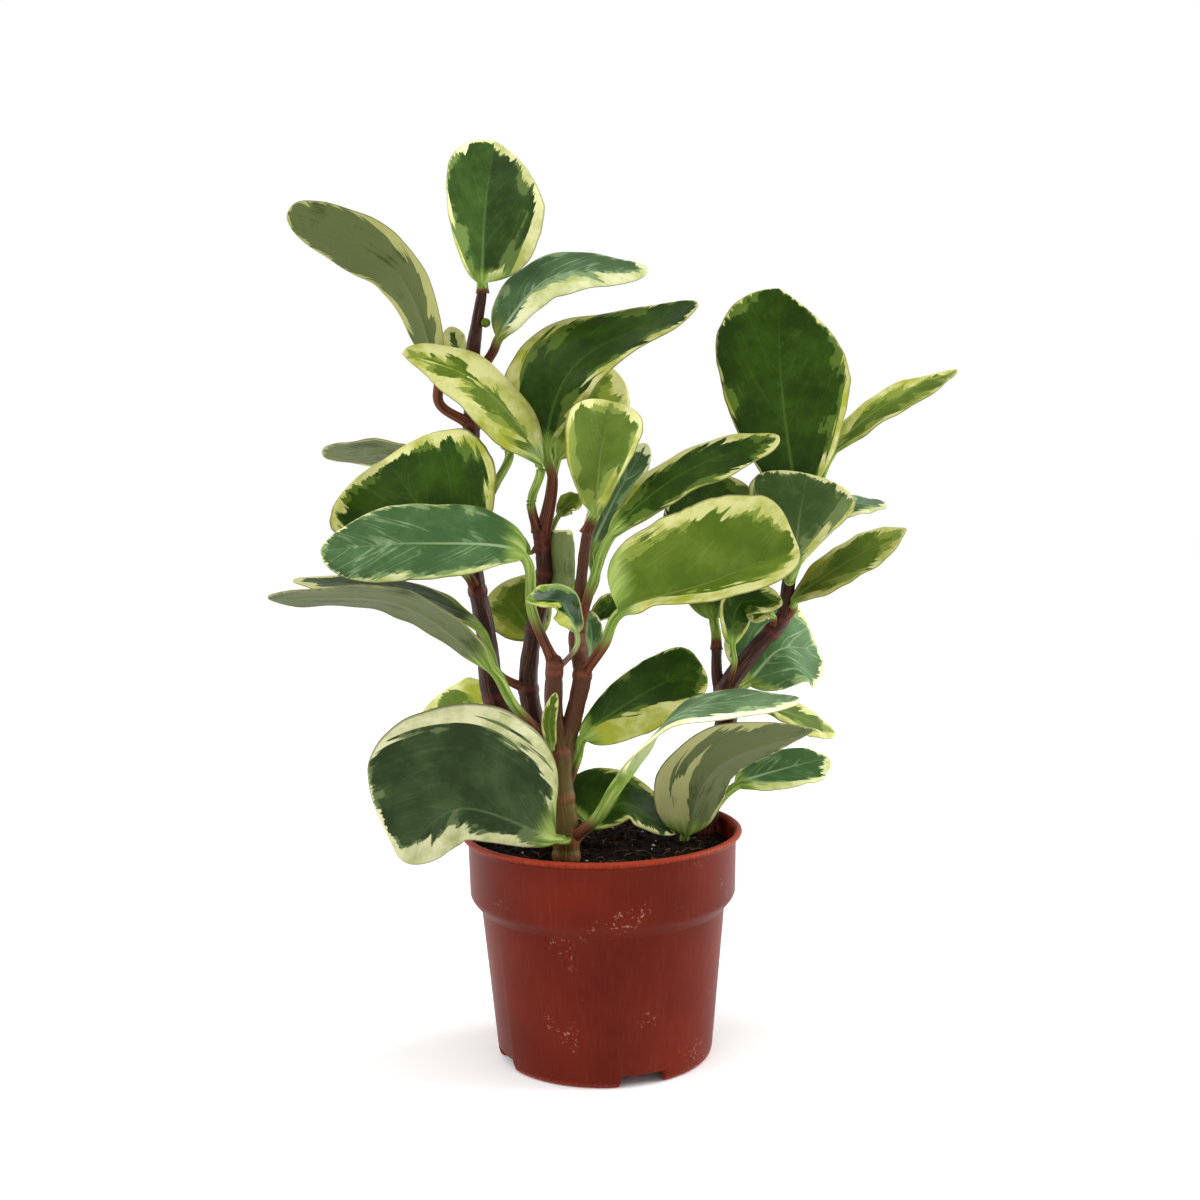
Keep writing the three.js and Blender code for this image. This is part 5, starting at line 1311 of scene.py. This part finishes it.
@dataclass
class Soil:
    """Damp peat that fills the pot, with crumbs, bark fibres and perlite lying on it.

    clods holds (height mm, pitch mm, seed) of the surface's clods, lumps and crumbs.
    """

    pot: Pot
    level: float = 91
    dome: float = 2
    sink: float = 0.7
    gap: float = 0.3
    clods: tuple[tuple[float, float, int], ...] = ((0.8, 7.0, 3), (0.5, 2.6, 4), (0.3, 1.3, 5))
    bed_rings: int = 90
    bed_sides: int = 240
    crumbs: int = 520
    perlite: int = 34
    fibres: int = 110
    red_fibres: int = 26
    fibre_points: int = 9
    fibre_sides: int = 5

    def edge(self) -> float:
        """The soil's radius at its surface."""
        return float(self.pot.inside(self.level)) - self.gap

    def height(self, xy: Array) -> Array:
        """The soil's surface: a low dome with clods, calmer close to the pot.

        Args:
            xy: places about the pot's axis, (..., 2) mm.

        Returns:
            Heights in mm.
        """
        r = np.clip(np.linalg.norm(xy, axis=-1) / self.edge(), 0, 1)
        rough = sum(height * lattice_noise(xy, pitch, seed) for height, pitch, seed in self.clods)
        calm = 0.25 + 0.75 * smooth((1 - r) * 12)
        return self.level + self.dome * (1 - r**2) - self.sink + rough * calm

    def build(self) -> None:
        """Builds the soil's body and everything that lies on it."""
        self.build_bed()
        self.build_crumbs()
        self.build_fibres()

    def build_bed(self) -> None:
        """The bed.

        Its rings are those of the surface from the middle outwards, then down the wall and back
        to the middle of the bottom.
        """
        pot, middle = self.pot, 0.5
        heights = np.array([self.level - 1, pot.collar_foot, pot.shoulder_foot, pot.floor + 1.5])
        radii = np.concatenate([pot.inside(heights) - self.gap, [middle]])
        heights = np.append(heights, heights[-1])
        ring = circle(self.bed_sides)
        surface = ring[None] * np.linspace(middle, self.edge(), self.bed_rings)[:, None, None]
        surface = np.concatenate([surface, self.height(surface)[..., None]], -1)
        levels = np.broadcast_to(heights[:, None, None], (len(radii), len(ring), 1))
        wall = np.concatenate([ring[None] * radii[:, None, None], levels], -1)
        rings = np.concatenate([surface, wall])[::-1]
        obj = make_object("peat_bed", with_ends(rings), list(ring_faces(*rings.shape[:2])))
        finish = PeatFinish("damp_peat", shades=("#080604", "#120c08", "#241910"), pitch=1.6)
        finish_piece(obj, finish.material(), "soil")

    def build_crumbs(self) -> None:
        """Crumbs of peat and grains of perlite.

        Each is a small ball whose points are moved in and out at random, scaled by three random
        sizes, turned at random and set on the surface.
        """
        ball, faces = small_ball()
        dark = PeatFinish("peat_crumb", shades=("#0c0805", "#1e140c", "#3a291a"), pitch=0.9).material()
        pale = PeatFinish("perlite", shades=("#9c978c", "#cfcabd"), pitch=1.2, roughness=0.85).material()
        for name, count, (least, most), material, seed in (
                ("peat_crumbs", self.crumbs, (0.5, 1.7), dark, 11),
                ("perlite_grains", self.perlite, (0.35, 0.8), pale, 12)):
            rng = np.random.default_rng(seed)
            xy = scatter(rng, self.edge() - 2.2, count)
            scale = least + (most - least) * rng.random(count) ** 2.2
            turn = np.linalg.qr(rng.normal(size=(count, 3, 3)))[0]
            turn *= np.sign(np.linalg.det(turn))[:, None, None]
            dents = 1 + 0.28 * rng.uniform(-1, 1, (count, len(ball), 1))
            lump = ball[None] * dents * rng.uniform(0.6, 1.2, (count, 1, 3))
            lump = np.einsum("nij,nkj->nki", turn, lump) * scale[:, None, None]
            lump[..., :2] += xy[:, None, :]
            lump[..., 2] += (self.height(xy) + 0.25 * scale)[:, None]
            blocks = faces[None] + len(ball) * np.arange(count)[:, None, None]
            obj = make_object(name, lump.reshape(-1, 3), [blocks.reshape(-1, 3)])
            finish_piece(obj, material)

    def build_fibres(self) -> None:
        """Bark and coir fibres: thin tubes along shallow arcs that lie on the soil.

        Each runs through points spaced along a heading that turns steadily, at the soil's height
        plus a low arch, and tapers to both ends.
        """
        spots = self.fibre_points
        for name, shades, count, clump, seed in (
                ("coir_fibres", ("#3a2417", "#6b4630", "#9a7350"), self.fibres, None, 21),
                ("red_bark_fibres", ("#5a2618", "#8a4028", "#a85a3c"), self.red_fibres,
                 (16.0, -33.0), 22)):
            rng = np.random.default_rng(seed)
            if clump is None:
                start = scatter(rng, self.edge() - 7, count)
            else:
                start = np.array(clump) + rng.normal(0, 2.6, (count, 2))
            heading = rng.uniform(0, 2 * np.pi, (count, 1))
            heading = heading + rng.uniform(-1.4, 1.4, (count, 1)) * np.linspace(0, 1, spots)
            step = rng.uniform(0.4, 1.1, (count, 1))
            way = np.stack([np.cos(heading), np.sin(heading)], -1) * step[..., None]
            path = start[:, None, :] + np.cumsum(way, 1) - way[:, :1]
            limit = (self.edge() - 1.2) / np.maximum(np.linalg.norm(path, axis=-1, keepdims=True), 1e-6)
            path = path * np.minimum(1.0, limit)
            arch = np.sin(np.linspace(0, np.pi, spots)) * rng.uniform(0.1, 1.4, (count, 1))
            centre = np.concatenate([path, (self.height(path) + 0.25 + arch)[..., None]], -1)
            along = unit(np.gradient(centre, axis=1))
            a = unit(np.cross(along, np.array([0.0, 0.0, 1.0])))
            b = np.cross(along, a)
            across, upward = circle(self.fibre_sides).T
            taper = 0.25 + 0.75 * np.sin(np.linspace(0.1, np.pi - 0.1, spots))
            thick = rng.uniform(0.12, 0.24, (count, 1)) * taper
            ring = across[:, None] * a[:, :, None, :] + upward[:, None] * b[:, :, None, :]
            rings = centre[:, :, None, :] + thick[..., None, None] * ring
            ends = [rings[:, k].mean(1)[:, None] for k in (0, -1)]
            points = np.concatenate([rings.reshape(count, -1, 3), *ends], 1)
            offsets = (points.shape[1] * np.arange(count))[:, None, None]
            faces = [(block[None] + offsets).reshape(-1, block.shape[1])
                     for block in ring_faces(spots, self.fibre_sides)]
            obj = make_object(name, points.reshape(-1, 3), faces)
            finish = PeatFinish(name + "_finish", shades, pitch=3.0, roughness=0.8)
            finish_piece(obj, finish.material())


# ---- Plant and studio ------------------------------------------------------------------------


@dataclass
class Plant:
    """The stems, the leaves, and the small round bud near the top of the tall stem."""

    stems: tuple[Stem, ...]
    leaves: tuple[Leaf, ...]
    bud_at: float = 0.945
    bud_offset: Point = (3.4, -1.6, -1)
    bud_radius: float = 2.2

    def build(self) -> None:
        """Builds every stem and leaf, then the bud."""
        for stem in self.stems:
            stem.build(self.leaves)
        materials = {tone: finish.material() for tone, finish in LEAF_FINISHES.items()}
        for leaf in self.leaves:
            leaf.build(materials)
        self.build_bud(materials[Tone.OLIVE])

    def build_bud(self, material: bpy.types.Material) -> None:
        """The bud: a ball flattened at its tip, with a low lengthwise crease on either side."""
        centre = spline(branch_points("tall"), np.array([self.bud_at]))[0] + np.array(self.bud_offset)
        tilt = np.linspace(0.03, np.pi - 0.03, 22)[:, None]
        turn = np.linspace(0, 2 * np.pi, 28, endpoint=False)[None, :]
        r = self.bud_radius * (1 - 0.05 * np.cos(2 * turn)) * (1 - 0.10 * np.cos(tilt) ** 4)
        rings = centre + np.stack([r * np.sin(tilt) * np.cos(turn), r * np.sin(tilt) * np.sin(turn),
                                   -r * np.cos(tilt) + 0 * turn], -1)
        levels = {"leaf_vein": 0.5 * rings, "leaf_edge": (6.0, 1.0, 1.0), "leaf_place": (0.5, 0.5, 1.0),
                  "leaf_tint": (-0.1, 0.0, 6.0)}
        obj = make_object("tall_stem_bud", with_ends(rings), list(ring_faces(*rings.shape[:2])),
                          {key: with_ends(np.broadcast_to(np.array(value), rings.shape))
                           for key, value in levels.items()})
        finish_piece(obj, material)


@dataclass
class Studio:
    """Pale floor, soft lights and a camera at the photograph's height, tilt and roll.

    Places are in mm about the pot's axis, lens and sensor in mm too, tilt_down in degrees, and
    roll and turn in radians.
    """

    eye: Point = (0.0, -800.0, 297.0)
    tilt_down: float = 7.1
    roll: float = -0.0166
    turn: float = 0.001
    lens: float = 57.2
    sensor: float = 36.0
    floor_radius: float = 2100.0
    floor_sides: int = 64
    plant_middle: Point = (0.0, 0.0, 150.0)

    def build(self) -> None:
        """Builds the floor, the lights, the surroundings and the camera."""
        self.build_floor()
        self.build_camera()
        self.build_room()
        sun = bpy.data.lights.new("overhead", "SUN")
        sun.angle, sun.energy = np.radians(55), 1.42
        self.hang(sun, (-250, -350, 1000))
        for name, place, watts in (("right_softbox", (1300, 200, 700), 24.0),
                                   ("left_softbox", (-1400, 100, 600), 13.0)):
            softbox = bpy.data.lights.new(name, "AREA")
            softbox.size, softbox.energy = 1.2, watts
            self.hang(softbox, place)
        bpy.context.scene.view_settings.view_transform = "Standard"

    def build_room(self) -> None:
        """White surroundings, at full strength at the sides and dimmer overhead."""
        world = bpy.data.worlds.new("white_room")
        world.use_nodes = True
        tree = world.node_tree
        ray = add_node(tree, "TexCoord", out="Generated")
        rise = add_node(tree, "SeparateXYZ", {0: ray}, out=2)
        light = add_node(tree, "MapRange", {0: rise, 1: 0.25, 2: 0.65, 3: 1.0, 4: 0.45},
                         interpolation_type="SMOOTHSTEP")
        background = tree.nodes["Background"].inputs
        tree.links.new(light, background["Strength"])
        background["Color"].default_value = colour("#ffffff")
        bpy.context.scene.world = world

    def hang(self, light: bpy.types.Light, place: Point) -> None:
        """Hangs a lamp at a place, in mm about the pot's axis, and aims it at the plant."""
        lamp = bpy.data.objects.new(light.name, light)
        bpy.context.scene.collection.objects.link(lamp)
        back = unit(np.array(place, float) - np.array(self.plant_middle))
        side = unit(np.cross(np.array([0.0, 0.0, 1.0]), back))
        set_frame(lamp, np.array(place, float), np.stack([side, np.cross(back, side), back], 1))

    def build_camera(self) -> None:
        """The camera: it looks along +Y, tilted down, with the slight roll of the photograph."""
        p, q = np.radians(self.tilt_down), self.turn
        ahead = np.array([np.sin(q) * np.cos(p), np.cos(q) * np.cos(p), -np.sin(p)])
        side = np.array([np.cos(q), -np.sin(q), 0.0])
        top = np.cross(side, ahead)
        c, s = np.cos(self.roll), np.sin(self.roll)
        data = bpy.data.cameras.new("camera")
        data.lens, data.sensor_width = self.lens, self.sensor
        camera = bpy.data.objects.new("camera", data)
        bpy.context.scene.collection.objects.link(camera)
        axes = np.stack([c * side + s * top, -s * side + c * top, -ahead], 1)
        set_frame(camera, np.array(self.eye), axes)
        bpy.context.scene.camera = camera

    def build_floor(self) -> None:
        """A pale, matt floor 4.2 m across."""
        sides = self.floor_sides
        disc = np.column_stack([self.floor_radius * circle(sides), np.zeros(sides)])
        floor = make_object("floor", disc, [np.arange(sides)[None, :]])
        material, tree = new_material("matt_white_paper")
        place = add_node(tree, "TexCoord", out="Object")
        paper = add_node(tree, "TexNoise", {"Vector": place, "Scale": 3.0})
        paper = add_node(tree, "ValToRGB", {0: paper}, stops=((0.3, "#fefefd"), (0.7, "#ffffff")))
        shader = add_node(tree, "BsdfPrincipled", {
            "Base Color": paper, "Roughness": 0.9, "Specular IOR Level": 0.1})
        add_node(tree, "OutputMaterial", {"Surface": shader})
        floor.data.materials.append(material)


def main() -> None:
    """Builds the studio, the pot, the soil and the plant."""
    logging.basicConfig(level=logging.INFO, format="%(name)s: %(message)s")
    Studio().build()
    pot = Pot()
    pot.build()
    Soil(pot).build()
    brown = BarkFinish("purple_brown_stem", dark="#2e140c", streak="#5e3826", ring="#6e2c20",
                       green="#5e6820", green_at=(1.02, 1.3))
    front = BarkFinish("green_brown_stem", dark="#54481a", streak="#8e5e3a", ring="#86402f",
                       green="#4a2a18", green_at=(0.36, 0.47))
    stems = (Stem("stem_front", branches=("front", "front_fork"), finish=front, number=1.0),
             Stem("stem_middle", branches=("middle",), finish=brown, number=2.0),
             Stem("stem_tall", branches=("tall",), finish=brown, number=3.0),
             Stem("stem_right", branches=("right", "right_side"), finish=brown, number=4.0))
    Plant(stems, LEAVES).build()


if __name__ == "__main__":
    main()
